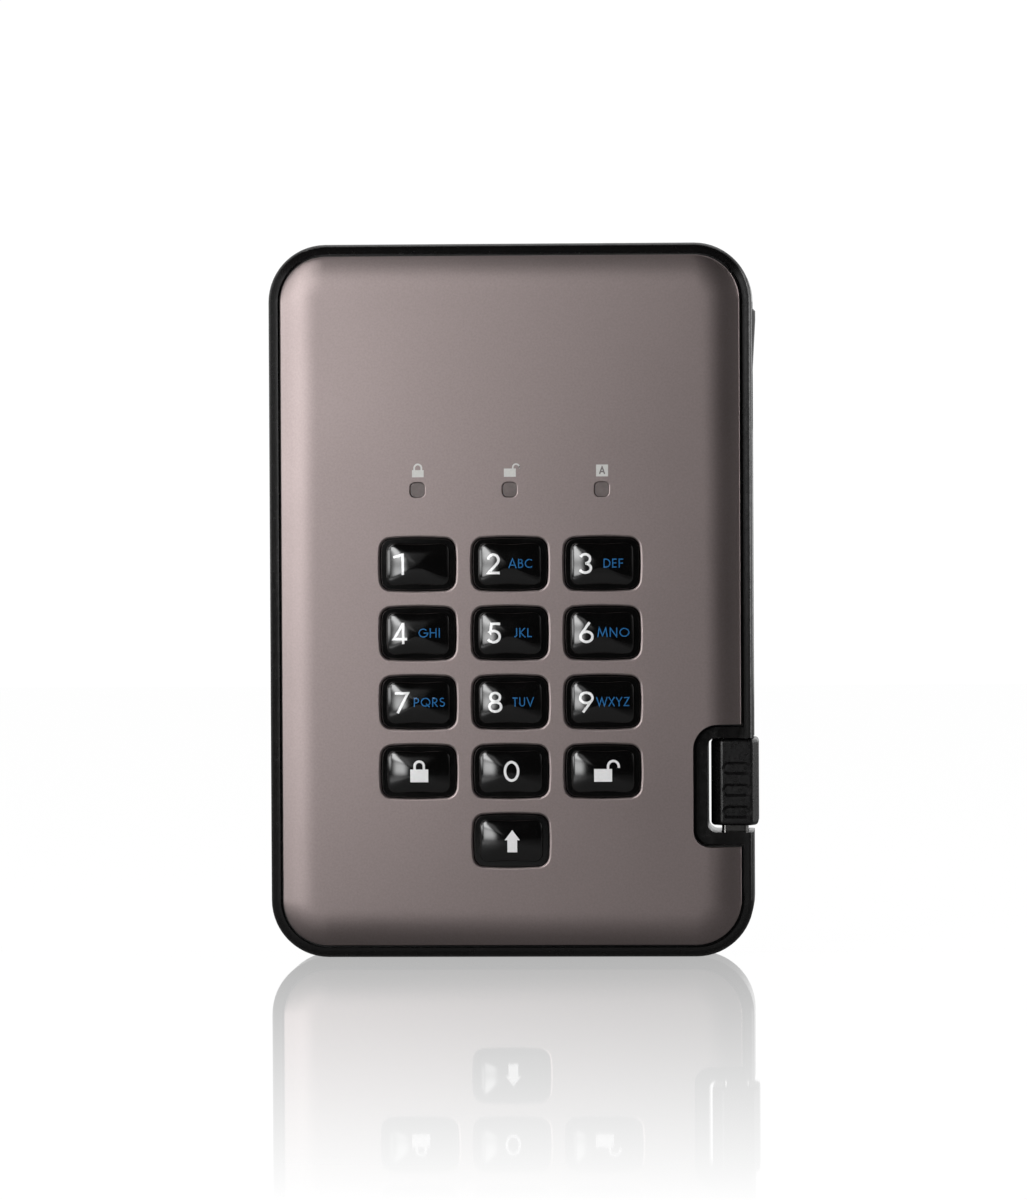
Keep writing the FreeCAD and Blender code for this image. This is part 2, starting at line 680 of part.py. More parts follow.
pad_from(cover, "dock_skirt", "skirt_low", "cover_face - roll_drop - edge_round",
         dock_outline("cover_skirt", "cover_x - cover_skirt / 2"))
pad_from(cover, "dock_skirt_top", "skirt_low", "cover_face - cover_wall / 2",
         lambda s: box(s, "cut_side - cover_skirt", "cover_x - roll_width",
                       "cut_low - cover_skirt", "cut_high + cover_skirt"))
cut_from(cover, "dock_cut_out", "cover_face + 1", "skirt_low - 1", dock_outline("0", "cover_x + 2"))


def opening_set(name, x, y):
    outline = new_sketch(cover, name + "_outline", "cover_face")
    cushion(outline, x, y, "opening_width", "opening_height", "opening_corner")
    through = cut(cover, name, outline, "cover_wall + 1")
    rim = new_sketch(cover, name + "_rim_outline", "cover_face - opening_chamfer")
    cushion(rim, x, y, "opening_width", "opening_height", "opening_corner")
    return [through, cut(cover, name + "_rim", rim, "opening_chamfer + 0.1", True, "45")]


key_grid(cover, "openings", opening_set)


def window_outline(name, height):
    outline = new_sketch(cover, name + "_outline", height)
    rounded(outline, "-key_pitch_x - window_size / 2", "-key_pitch_x + window_size / 2",
            "lamp_row - window_size / 2", "lamp_row + window_size / 2", "window_corner")
    return outline


window = cut(cover, "window", window_outline("window", "cover_face"), "cover_wall + 1")
window_edge = window_outline("window_rim", "cover_face - window_chamfer")
window_rim = cut(cover, "window_rim", window_edge, "window_chamfer + 0.1", True, "45")
row_pattern(cover, "windows", [window, window_rim], "X_Axis", "2 * key_pitch_x", 3)
board_posts = [("-key_pitch_x", "row_low"), ("key_pitch_x", "row_low"),
               ("-1.5 * key_pitch_x", "lamp_row"), ("1.5 * key_pitch_x", "lamp_row")]


def board_discs(sketch, radius):
    for x, y in board_posts:
        disc(sketch, x, y, radius)


pad_from(cover, "board_bosses", "pcb_high", "cover_under + cover_wall / 2",
         lambda s: board_discs(s, "boss_diameter / 2"))
pilots = new_sketch(cover, "board_pilots_outline", "pcb_high")
board_discs(pilots, "screw_diameter / 2 + screw_clear / 2")
cut(cover, "board_pilots", pilots, "screw_bite + screw_clear", True)
pad_from(cover, "hook_legs", hook_low, cut_up + " + cover_ceiling / 2", lambda s: hook_outline(
    s, "(side_wall + hook_clear + hook_leg)", "(side_wall + hook_clear)", "0"))
pad_from(cover, "hook_barbs", hook_low, hook_low + " + hook_depth", lambda s: hook_outline(
    s, "(side_wall + hook_clear + hook_leg / 2)", "(side_wall - hook_bite)", "0"))

# Seal under the cover's skirt
seal = plate("cover_seal", "ledge", "seal_depth", lambda s: rounded(
    s, "-(cover_x) - seal_reach", "cover_x + seal_reach", "-(cover_y) - seal_reach", "cover_y + seal_reach",
    "cover_corner + seal_reach"))
cut_from(seal, "seal_inside", "skirt_low", "ledge - 1", lambda s: rounded(
    s, "seal_width - cover_x", "cover_x - seal_width", "seal_width - cover_y", "cover_y - seal_width",
    "cover_corner - seal_width"))
pad_from(seal, "seal_dock", "ledge", "skirt_low", dock_outline("seal_width", "cover_x - seal_width / 2"))
cut_from(seal, "seal_cut_out", "skirt_low + 1", "ledge - 1", dock_outline("(-seal_reach)", "cover_x + 2"))

# Keys, each drawn about its own centre
for label, column, row in ROWS:
    key = new_body(label)
    pieces[-1] = (key, "%d * key_pitch_x" % column, "row_low + %d * key_pitch_y" % row)
    stem = new_sketch(key, "cap_outline", "key_seat")
    cushion(stem, "0", "0", "key_width", "key_height", "key_corner")
    pad(key, "cap", stem, "key_crest - key_seat")
    round_edges(key, "cap_edge", "key_edge_round", level("key_crest"))
    for name, plane, half_size in (("crown_across", "XZ_Plane", "key_width / 2"),
                                   ("crown_along", "YZ_Plane", "key_height / 2")):
        crown = new_sketch(key, name + "_outline", "0", plane)
        radius = "((%s) * (%s) + key_drop * key_drop) / (2 * key_drop)" % (half_size, half_size)
        reach, r = number(half_size) + 1, number(radius)
        tilt = math.asin(reach / r)
        top = number("key_crest")
        bow = arc(crown, (0, top - r), r, math.pi / 2 - tilt, math.pi / 2 + tilt)
        side_y = top - r + r * math.cos(tilt)
        rise = segment(crown, (-reach, side_y), (-reach, top + 1))
        over = segment(crown, (-reach, top + 1), (reach, top + 1))
        fall = segment(crown, (reach, top + 1), (reach, side_y))
        loop = [bow, rise, over, fall]
        for i in range(4):
            crown.addConstraint(Sketcher.Constraint("Coincident", loop[i], 2, loop[(i + 1) % 4], 1))
        crown.addConstraint(Sketcher.Constraint("Vertical", rise))
        crown.addConstraint(Sketcher.Constraint("Vertical", fall))
        fix(crown, "Radius", (bow,), radius)
        place_point(crown, bow, 3, "0", "key_crest - " + radius)
        place_point(crown, over, 1, "-(%s) - 1" % half_size, "key_crest + 1")
        place_point(crown, over, 2, "%s + 1" % half_size, "key_crest + 1")
        cut_across(key, name, crown, "2 * (key_width + key_height)")
    lip = new_sketch(key, "lip_outline", "key_seat")
    rounded(lip, "-key_width / 2 - key_lip", "key_width / 2 + key_lip",
            "-key_height / 2 - key_lip", "key_height / 2 + key_lip", "key_corner")
    pad(key, "lip", lip, "key_lip_depth")

# Key mat
mat = plate("key_mat", "pcb_high", "mat_sheet", lambda s: box(
    s, "-key_pitch_x - mat_margin", "key_pitch_x + mat_margin", "row_low - mat_end", "row_top + mat_end"))
web_width = "key_width + 2 * key_lip"
web_height = "key_height + 2 * key_lip"


def draw_web(sketch, x, y, inset):
    box(sketch, "%s - (%s) / 2 + %s" % (x, web_width, inset), "%s + (%s) / 2 - %s" % (x, web_width, inset),
        "%s - (%s) / 2 + %s" % (y, web_height, inset), "%s + (%s) / 2 - %s" % (y, web_height, inset))


def web_set(name, x, y):
    outer = new_sketch(mat, name + "_outline", "mat_high")
    draw_web(outer, x, y, "0")
    web = pad(mat, name, outer, "mat_rise", True, "-web_slope")
    inner = new_sketch(mat, name + "_well_outline", "pcb_high")
    draw_web(inner, x, y, "web_wall")
    well = cut(mat, name + "_well", inner, "mat_sheet + mat_rise - web_wall", True, "-web_slope")
    boss = new_sketch(mat, name + "_plunger_outline", "pcb_high + key_travel + plunger_gap")
    disc(boss, x, y, "plunger_diameter / 2")
    plunger = pad(mat, name + "_plunger", boss, "key_seat - web_wall / 2 - (pcb_high + key_travel + plunger_gap)")
    return [web, well, plunger]


key_grid(mat, "webs", web_set)
mat_holes = new_sketch(mat, "mat_holes_outline", "mat_high")
for x, y in board_posts[:2]:
    disc(mat_holes, x, y, "boss_diameter / 2 + boss_clear")
cut(mat, "mat_holes", mat_holes, "mat_sheet + 1")

# Keypad board, its lamps, light pipes and screws
board = plate("keypad_board", "pcb_low", "keypad_board", lambda s: box(
    s, "-1.5 * key_pitch_x - board_margin", "1.5 * key_pitch_x + board_margin",
    "row_low - mat_end", "lamp_row + board_margin"))
cut_from(board, "board_holes", "pcb_high", "pcb_low - 1",
         lambda s: board_discs(s, "screw_diameter / 2 + screw_clear"))
for name, column in LAMPS:
    middle = "%d * key_pitch_x" % column
    plate("lamp_" + name, "pcb_high", "lamp_depth", lambda s: box(
        s, middle + " - lamp_length / 2", middle + " + lamp_length / 2",
        "lamp_row - lamp_width / 2", "lamp_row + lamp_width / 2"))
    pipe = plate("light_pipe_" + name, "pcb_high + lamp_depth + lamp_gap",
                 "cover_under - pipe_flange_depth / 2 - (pcb_high + lamp_depth + lamp_gap)",
                 lambda s: disc(s, middle, "lamp_row", "pipe_stem / 2"))
    pad_from(pipe, "pipe_flange", "cover_under - pipe_flange_depth", "cover_under", lambda s: rounded(
        s, middle + " - pipe_flange / 2", middle + " + pipe_flange / 2",
        "lamp_row - pipe_flange / 2", "lamp_row + pipe_flange / 2", "window_corner"))
    pad_from(pipe, "pipe_head", "cover_under - pipe_flange_depth / 2", "cover_face - window_sink", lambda s: rounded(
        s, middle + " - window_size / 2 + window_clear", middle + " + window_size / 2 - window_clear",
        "lamp_row - window_size / 2 + window_clear", "lamp_row + window_size / 2 - window_clear",
        "window_corner - window_clear"))


def screw_set(label, places, seat, up):
    """A group of equal screws, with the head on one side of the seat and the shank on the other."""
    made = []
    for index, (x, y) in enumerate(places, 1):
        body = doc.addObject("PartDesign::Body", "%s_%d" % (label, index))
        head = new_sketch(body, "head_outline", seat)
        disc(head, x, y, "screw_head / 2")
        pad(body, "head", head, "screw_head_depth", not up)
        shank = new_sketch(body, "shank_outline", seat)
        disc(shank, x, y, "screw_diameter / 2")
        board_depth = "keypad_board" if up else "bridge_board"
        pad(body, "shank", shank, board_depth + " + screw_bite - screw_clear", up)
        made.append(body)
    group = doc.addObject("Part::Compound", label)
    group.Label = label
    group.Links = made
    pieces.append((group, "0", "0"))


screw_set("keypad_screws", board_posts, "pcb_low", True)
plate("keypad_header", "pcb_low - header_depth", "header_depth", lambda s: box(
    s, "ribbon_place - header_width / 2", "ribbon_place + header_width / 2",
    "lamp_row - board_margin - header_length", "lamp_row - board_margin"))

# Drive
tray = plate("drive_tray", "drive_low", "drive_depth - drive_lid", lambda s: rounded(
    s, "drive_left", "drive_right", "drive_bottom", "drive_top", "drive_corner"))
cut_from(tray, "tray_well", "drive_high - drive_lid", "drive_low + drive_shell", lambda s: rounded(
    s, "drive_left + drive_shell", "drive_right - drive_shell", "drive_bottom + drive_shell",
    "drive_top - drive_shell", "drive_corner - drive_shell"))


def tray_posts(sketch):
    for x in ("drive_left + drive_shell + 3.5", "drive_right - drive_shell - 3.5"):
        for y in ("drive_bottom + 10", "drive_top - 12"):
            disc(sketch, x, y, "3")


pad_from(tray, "tray_posts", "drive_low + drive_shell / 2", "drive_pcb_low", tray_posts)
cut_from(tray, "tray_mouth", "drive_high", "bridge_high - drive_plug_clear", lambda s: box(
    s, "drive_plug_x - drive_plug_width / 2 - 3 * drive_plug_clear",
    "drive_plug_x + drive_plug_width / 2 + 3 * drive_plug_clear", "drive_top - 1.5 * drive_shell", "drive_top + 1"))
plate("drive_cap", "drive_high - drive_lid", "drive_lid", lambda s: rounded(
    s, "drive_left", "drive_right", "drive_bottom", "drive_top", "drive_corner"))
plate("drive_board", "drive_pcb_low", "drive_board", lambda s: box(
    s, "drive_left + 2 * drive_shell", "drive_right - 2 * drive_shell",
    "drive_bottom + 2 * drive_shell", "drive_plug_back"))
drive_middle = "(drive_left + drive_right) / 2"
plate("drive_controller", "drive_pcb_high", "chip_depth", lambda s: box(
    s, drive_middle + " - memory_width / 2", drive_middle + " + memory_width / 2",
    "drive_plug_back - 22", "drive_plug_back - 22 + memory_width"))
for index in range(4):
    chip_x = drive_middle + " + %d * memory_width" % (-1 if index % 2 == 0 else 1)
    chip_y = "drive_plug_back - 40 - %d * 1.4 * memory_length" % (index // 2)
    plate("drive_memory_%d" % (index + 1), "drive_pcb_high", "chip_depth", lambda s: box(
        s, chip_x + " - memory_width / 2", chip_x + " + memory_width / 2",
        chip_y + " - memory_length / 2", chip_y + " + memory_length / 2"))
drive_plug = plate("drive_plug", "drive_plug_low", "drive_plug_depth", lambda s: box(
    s, "drive_plug_x - drive_plug_width / 2", "drive_plug_x + drive_plug_width / 2",
    "drive_plug_back", "drive_plug_back + drive_plug_base"))
tongues = [("drive_plug_x - drive_plug_width / 2 + 1", "drive_plug_x - drive_plug_width / 6"),
           ("drive_plug_x - drive_plug_width / 6 + 1.5", "drive_plug_x + drive_plug_width / 2 - 1")]


def tongue_outlines(sketch, spare, back, front):
    for left, right in tongues:
        box(sketch, left + " - " + spare, right + " + " + spare, back, front)


pad_from(drive_plug, "drive_tongues", "drive_tongue_low", "drive_tongue_low + drive_tongue",
         lambda s: tongue_outlines(s, "0", "drive_plug_back + drive_plug_base / 2",
                                   "drive_plug_back + drive_plug_base + drive_tongue_length"))
for index in range(4):
    left = "drive_left" if index % 2 == 0 else "drive_right - drive_pad_size"
    low = "drive_bottom" if index < 2 else "drive_top - drive_pad_size"
    plate("drive_pad_%d" % (index + 1), "inner_floor", "drive_pad", lambda s: rounded(
        s, left, left + " + drive_pad_size", low, low + " + drive_pad_size", "drive_corner"))
for side, place in (("left", "-1"), ("right", "1")):
    strip = "%s * (1.5 * key_pitch_x - board_margin)" % place
    plate("drive_foam_" + side, "drive_high", "part_gap", lambda s: box(
        s, strip + " - board_margin / 2", strip + " + board_margin / 2",
        "row_low + 2 * boss_diameter", "row_top"))

# Bridge board with its chips, sockets and screws
bridge = plate("bridge_board", "bridge_low", "bridge_board", lambda s: box(
    s, "bridge_left", "bridge_right", "bridge_bottom", "bridge_top"))
cut_from(bridge, "bridge_holes", "bridge_high", "bridge_low - 1",
         lambda s: bridge_discs(s, "screw_diameter / 2 + screw_clear"))
screw_set("bridge_screws", bridge_posts, "bridge_high", False)
plate("crypto_controller", "bridge_high", "chip_depth", lambda s: box(
    s, "bridge_left + 7", "bridge_left + 15", "bridge_bottom + 1.5", "bridge_bottom + 9.5"))
plate("secure_processor", "bridge_high", "chip_depth", lambda s: box(
    s, "drive_plug_x - 3", "drive_plug_x + 3", "bridge_top - 7", "bridge_top - 1"))
plate("bridge_header", "bridge_high", "header_depth", lambda s: box(
    s, "ribbon_place - header_width / 2", "ribbon_place + header_width / 2",
    "bridge_top - header_length - 1", "bridge_top - 1"))
socket_low = "drive_plug_back + drive_plug_base + drive_plug_clear"
socket = plate("drive_socket", "bridge_high", "drive_tongue_low + 2 * drive_tongue - bridge_high", lambda s: box(
    s, "drive_plug_x - drive_plug_width / 2", "drive_plug_x + drive_plug_width / 2",
    socket_low, "bridge_bottom + drive_socket_back"))
cut_from(socket, "socket_slots", "drive_tongue_low + drive_tongue + drive_plug_clear / 2",
         "drive_tongue_low - drive_plug_clear / 2",
         lambda s: tongue_outlines(s, "drive_plug_clear", "drive_plug_back",
                                   "drive_plug_back + drive_plug_base + drive_tongue_length + drive_plug_clear"))

# Flat cable from the bridge board up to the keypad board
ribbon = new_body("flat_cable")
ribbon_path = [("bridge_top - header_length - 1", "bridge_high + header_depth / 2"),
               ("bridge_bottom + 2.2", "bridge_high + header_depth / 2"),
               ("drive_top + 1.2", "pcb_low - header_depth / 2"),
               ("lamp_row - board_margin", "pcb_low - header_depth / 2")]
points = [Vector(number(y), number(z), 0) for y, z in ribbon_path]
route = new_sketch(ribbon, "ribbon_route", "ribbon_place", "YZ_Plane")
bend = number("ribbon_bend")
turns = []
for before, corner, after in zip(points, points[1:], points[2:]):
    a, b = (before - corner).normalize(), (after - corner).normalize()
    opening = a.getAngle(b)
    back = bend / math.tan(opening / 2)
    middle = corner + (a + b).normalize() * (bend / math.sin(opening / 2))
    turns.append((corner + a * back, corner + b * back, middle))
line_1 = segment(route, points[0][:2], turns[0][0][:2])
line_2 = segment(route, turns[0][1][:2], turns[1][0][:2])
line_3 = segment(route, turns[1][1][:2], points[3][:2])
arcs = []
for start, end, middle in turns:
    angle_a = math.atan2(start.y - middle.y, start.x - middle.x)
    angle_b = math.atan2(end.y - middle.y, end.x - middle.x)
    swing = (angle_b - angle_a) % (2 * math.pi)
    ccw = swing < math.pi
    first, last = (angle_a, angle_b) if ccw else (angle_b, angle_a)
    arcs.append((arc(route, middle[:2], bend, first, last), ccw))
for (bow, ccw), before, after in zip(arcs, (line_1, line_2), (line_2, line_3)):
    route.addConstraint(Sketcher.Constraint("Tangent", before, 2, bow, 1 if ccw else 2))
    route.addConstraint(Sketcher.Constraint("Tangent", bow, 2 if ccw else 1, after, 1))
route.addConstraint(Sketcher.Constraint("Horizontal", line_1))
route.addConstraint(Sketcher.Constraint("Horizontal", line_3))
route.addConstraint(Sketcher.Constraint("Equal", arcs[0][0], arcs[1][0]))
fix(route, "Radius", (arcs[0][0],), "ribbon_bend")
place_point(route, line_1, 1, *ribbon_path[0])
place_point(route, line_3, 2, *ribbon_path[3])
fix(route, "DistanceX", (-1, 1, arcs[1][0], 3), "drive_top + 1.2 - ribbon_bend / 2")
section = new_sketch(ribbon, "ribbon_section", "-(%s)" % ribbon_path[0][0], "XZ_Plane")
box(section, "ribbon_place - ribbon_width / 2", "ribbon_place + ribbon_width / 2",
    "bridge_high + header_depth / 2 - ribbon_depth / 2", "bridge_high + header_depth / 2 + ribbon_depth / 2")
doc.recompute()
swept = ribbon.newObject("PartDesign::AdditivePipe", "ribbon_sweep")
swept.Profile = section
swept.Spine = (route, ["Edge%d" % i for i in range(1, 6)])

# Cable, its boot and leads
cable = new_body("usb_cable")
jacket = new_sketch(cable, "jacket_outline", "-(grip_high)", "XZ_Plane")
disc(jacket, "plug_axis", "side_middle", "cable_diameter / 2")
pad(cable, "jacket", jacket, "cable_high - grip_high", False)
boot = new_body("cable_boot")
boot_half = new_sketch(boot, "boot_outline", "side_middle")
bore = "plug_axis + cable_diameter / 2 + sleeve_clear"
polygon(boot_half, [
    (bore, "boot_low"), ("plug_axis + boot_tip / 2", "boot_low"),
    ("plug_axis + boot_root / 2", "boot_high - 2 * boot_round"),
    ("plug_axis + boot_root / 2", "boot_high - boot_round"),
    ("plug_axis + boot_root / 2 - boot_round", "boot_high"), (bore, "boot_high")])
boot_axis = segment(boot_half, (number("plug_axis"), number("boot_low")), (number("plug_axis"), number("boot_high")))
boot_half.toggleConstruction(boot_axis)
place_point(boot_half, boot_axis, 1, "plug_axis", "boot_low")
place_point(boot_half, boot_axis, 2, "plug_axis", "boot_high")
turned = boot.newObject("PartDesign::Revolution", "boot_turn")
turned.Profile = boot_half
turned.ReferenceAxis = (boot_half, ["Axis0"])
turned.Angle = 360

lead_solids = []
for index in range(4):
    depth = number("side_middle") + (index - 1.5) * number("lead_pitch")
    r = number("lead_bend")
    x0, y0 = number("plug_axis"), number("cable_high")
    x1 = number("bridge_right") - 1.5 * index - 1.5
    low = number("bridge_high")
    a, b = Vector(x0, y0, depth), Vector(x0 - r, y0 + r, depth)
    c, d = Vector(x1 + r, y0 + r, depth), Vector(x1, y0 + r, depth - r)
    turn_1 = Vector(x0 - r + r * math.sqrt(0.5), y0 + r * math.sqrt(0.5), depth)
    turn_2 = Vector(x1 + r - r * math.sqrt(0.5), y0 + r, depth - r + r * math.sqrt(0.5))
    edges = [Part.Arc(a, turn_1, b).toShape(), Part.makeLine(b, c), Part.Arc(c, turn_2, d).toShape(),
             Part.makeLine(d, Vector(x1, y0 + r, low))]
    ring = Part.Wire([Part.makeCircle(number("lead_diameter") / 2, a, Vector(0, 1, 0))])
    lead_solids.append(Part.Wire(edges).makePipeShell([ring], True, True))
leads = doc.addObject("Part::Feature", "cable_leads")
leads.Label = "cable_leads"
leads.Shape = Part.makeCompound(lead_solids)
pieces.append((leads, "0", "0"))

# Plug
grip = new_body("plug_grip")
grip_section = new_sketch(grip, "grip_outline", "-(grip_low)", "XZ_Plane")
grip_inner, grip_outer = "plug_axis - grip_depth / 2", "plug_axis + grip_depth / 2"
grip_back, grip_front = "back_face + grip_recess", "rim_face - grip_recess"
polygon(grip_section, [
    (grip_inner + " + grip_inner_flank", grip_back), (grip_outer + " - grip_outer_flank", grip_back),
    (grip_outer, grip_back + " + grip_flank_depth"), (grip_outer, grip_front + " - grip_flank_depth"),
    (grip_outer + " - grip_outer_flank", grip_front), (grip_inner + " + grip_inner_flank", grip_front),
    (grip_inner, grip_front + " - grip_flank_depth"), (grip_inner, grip_back + " + grip_flank_depth")])
pad(grip, "grip_block", grip_section, "grip_length", False)
round_edges(grip, "grip_sides", "grip_side_round", lambda b: b.XLength < 1e-4 and b.ZLength < 1e-4)
grip_ends = (number("grip_low"), number("grip_high"))
round_edges(grip, "grip_ends", "grip_end_round",
            lambda b: b.YLength < 1e-4 and min(abs(b.YMin - e) for e in grip_ends) < 1e-4)
groove_x = "plug_axis + (grip_inner_flank - grip_outer_flank) / 2"
groove_y = "grip_low + groove_first"
for name, face, up in (("front", grip_front, False), ("back", grip_back, True)):
    groove = new_sketch(grip, name + "_groove_outline", face)
    rounded(groove, groove_x + " - groove_length / 2", groove_x + " + groove_length / 2",
            groove_y + " - groove_width / 2", groove_y + " + groove_width / 2", "groove_width / 2.05")
    dent = cut(grip, name + "_groove", groove, "groove_depth", up, "-45")
    row_pattern(grip, name + "_grooves", [dent], "Y_Axis", "2 * groove_pitch", 3)
shell = new_body("plug_shell")
shell_section = new_sketch(shell, "shell_outline", "-(grip_low)", "XZ_Plane")
shell_sides = ("plug_axis - shell_depth / 2", "plug_axis + shell_depth / 2",
               "side_middle - shell_width / 2", "side_middle + shell_width / 2")
rounded(shell_section, *shell_sides, "2 * shell_wall")
pad(shell, "shell_tube", shell_section, "shell_length", True)
bore_section = new_sketch(shell, "bore_outline", "-(grip_low)", "XZ_Plane")
rounded(bore_section, shell_sides[0] + " + shell_wall", shell_sides[1] + " - shell_wall",
        shell_sides[2] + " + shell_wall", shell_sides[3] + " - shell_wall", "shell_wall")
cut(shell, "shell_bore", bore_section, "shell_length", True)
tongue = new_body("plug_tongue")
tongue_section = new_sketch(tongue, "tongue_outline", "-(grip_low)", "XZ_Plane")
tongue_left = "plug_axis - shell_depth / 2 + shell_wall + shell_clear"
box(tongue_section, tongue_left, tongue_left + " + tongue_depth",
    "side_middle - shell_width / 2 + shell_wall + 2 * shell_clear",
    "side_middle + shell_width / 2 - shell_wall - 2 * shell_clear")
pad(tongue, "tongue_block", tongue_section, "shell_length - tongue_short", True)
contact_bodies = []
for index in range(4):
    contact = doc.addObject("PartDesign::Body", "contact_%d" % (index + 1))
    strip_section = new_sketch(contact, "contact_outline", "-(grip_low)", "XZ_Plane")
    middle = "side_middle + %s * contact_pitch" % (index - 1.5)
    box(strip_section, tongue_left + " + tongue_depth", tongue_left + " + tongue_depth + contact_depth",
        middle + " - contact_width / 2", middle + " + contact_width / 2")
    pad(contact, "contact_strip", strip_section, "shell_length - 4 * tongue_short", True)
    contact_bodies.append(contact)
contacts = doc.addObject("Part::Compound", "plug_contacts")
contacts.Label = "plug_contacts"
contacts.Links = contact_bodies
pieces.append((contacts, "0", "0"))

# Stand every piece on the case's lower edge, face to the front
for piece, x, y in pieces:
    piece.Placement = Placement(Vector(0, 0, 0), Rotation(Vector(1, 0, 0), 90))
    piece.setExpression("Placement.Base.x", bind(x))
    piece.setExpression("Placement.Base.y", bind("side_middle"))
    piece.setExpression("Placement.Base.z", bind("half_height + " + y))
doc.recompute()

for item in doc.Objects:
    if "Invalid" in item.State or "Error" in item.State:
        raise RuntimeError("%s is not built: %s" % (item.Label, item.State))
os.makedirs("parts", exist_ok=True)
for piece, x, y in pieces:
    shape = piece.Shape
    if shape.isNull() or not shape.isValid() or not shape.Solids:
        raise RuntimeError("%s has no valid solid" % piece.Label)
    shape.exportStep("parts/%s.step" % piece.Label)
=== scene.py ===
import math

import bmesh
import bpy
from mathutils import Matrix, Vector


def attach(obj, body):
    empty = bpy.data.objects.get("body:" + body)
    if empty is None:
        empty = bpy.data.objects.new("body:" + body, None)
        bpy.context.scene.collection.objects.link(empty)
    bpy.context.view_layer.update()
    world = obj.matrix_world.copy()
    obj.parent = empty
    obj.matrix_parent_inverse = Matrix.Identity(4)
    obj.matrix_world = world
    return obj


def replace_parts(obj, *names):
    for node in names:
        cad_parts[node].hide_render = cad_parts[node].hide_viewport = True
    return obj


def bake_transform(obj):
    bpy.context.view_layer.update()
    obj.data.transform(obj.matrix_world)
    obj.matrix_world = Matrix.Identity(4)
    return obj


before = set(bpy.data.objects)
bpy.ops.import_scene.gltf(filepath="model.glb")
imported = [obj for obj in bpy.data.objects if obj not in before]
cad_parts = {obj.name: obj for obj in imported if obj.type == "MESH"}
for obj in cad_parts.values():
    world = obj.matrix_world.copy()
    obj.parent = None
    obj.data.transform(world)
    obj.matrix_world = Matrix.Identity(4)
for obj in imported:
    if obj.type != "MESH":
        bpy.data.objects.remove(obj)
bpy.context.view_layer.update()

MM = 0.001
FRONT = Vector((0.0, -1.0, 0.0))
WELD, SLIVER = 2e-6, 1e-7

# Sizes of a key and places of the keys, the cover's face and the lamps, in millimetres
KEY_WIDTH, KEY_HEIGHT, KEY_CORNER = 12.9, 9.0, 1.7
LONG_BOW, SHORT_BOW = 70.0, 34.0
KEY_CREST, KEY_CROWN, KEY_ROLL = -11.38, 0.74, 0.45
KEY_RING, RING_FACE, RING_EDGE = 0.95, -10.35, 0.12
KEY_LIP, LIP_TOP, KEY_SEAT = 0.5, -9.1, -8.3
CROWN_POWER, CROWN_BULGE = 5.0, 0.31
KEY_PITCH_X, KEY_PITCH_Z, FIRST_ROW = 16.0, 12.0, 20.4
COVER_FACE, LAMP_ROW = -10.6, 81.3

KEY_PLACES = {
    "key_1": (-1, 4), "key_2": (0, 4), "key_3": (1, 4),
    "key_4": (-1, 3), "key_5": (0, 3), "key_6": (1, 3),
    "key_7": (-1, 2), "key_8": (0, 2), "key_9": (1, 2),
    "key_lock": (-1, 1), "key_0": (0, 1), "key_unlock": (1, 1),
    "key_shift": (0, 0),
}


# Node helpers

class Field:
    """A number in a node tree. Sums and products of fields add their own Math nodes."""

    def __init__(self, tree, socket):
        self.tree = tree
        self.socket = socket

    def join(self, kind, *others):
        node = self.tree.nodes.new("ShaderNodeMath")
        node.operation = kind
        for place, value in zip(node.inputs, (self,) + others):
            if isinstance(value, Field):
                self.tree.links.new(value.socket, place)
            else:
                place.default_value = value
        return Field(self.tree, node.outputs[0])

    def __add__(self, other):
        return self.join("ADD", other)

    def __sub__(self, other):
        return self.join("SUBTRACT", other)

    def __mul__(self, other):
        return self.join("MULTIPLY", other)

    def __truediv__(self, other):
        return self.join("DIVIDE", other)

    def __pow__(self, other):
        return self.join("POWER", other)

    def root(self):
        return self.join("MAXIMUM", 0.0).join("SQRT")

    def size(self):
        return self.join("ABSOLUTE")

    def past(self, limit):
        return self.join("GREATER_THAN", limit)

    def held(self, low, high):
        return self.join("MAXIMUM", low).join("MINIMUM", high)


def wire(tree, output, place):
    tree.links.new(output, place)


# Finishes

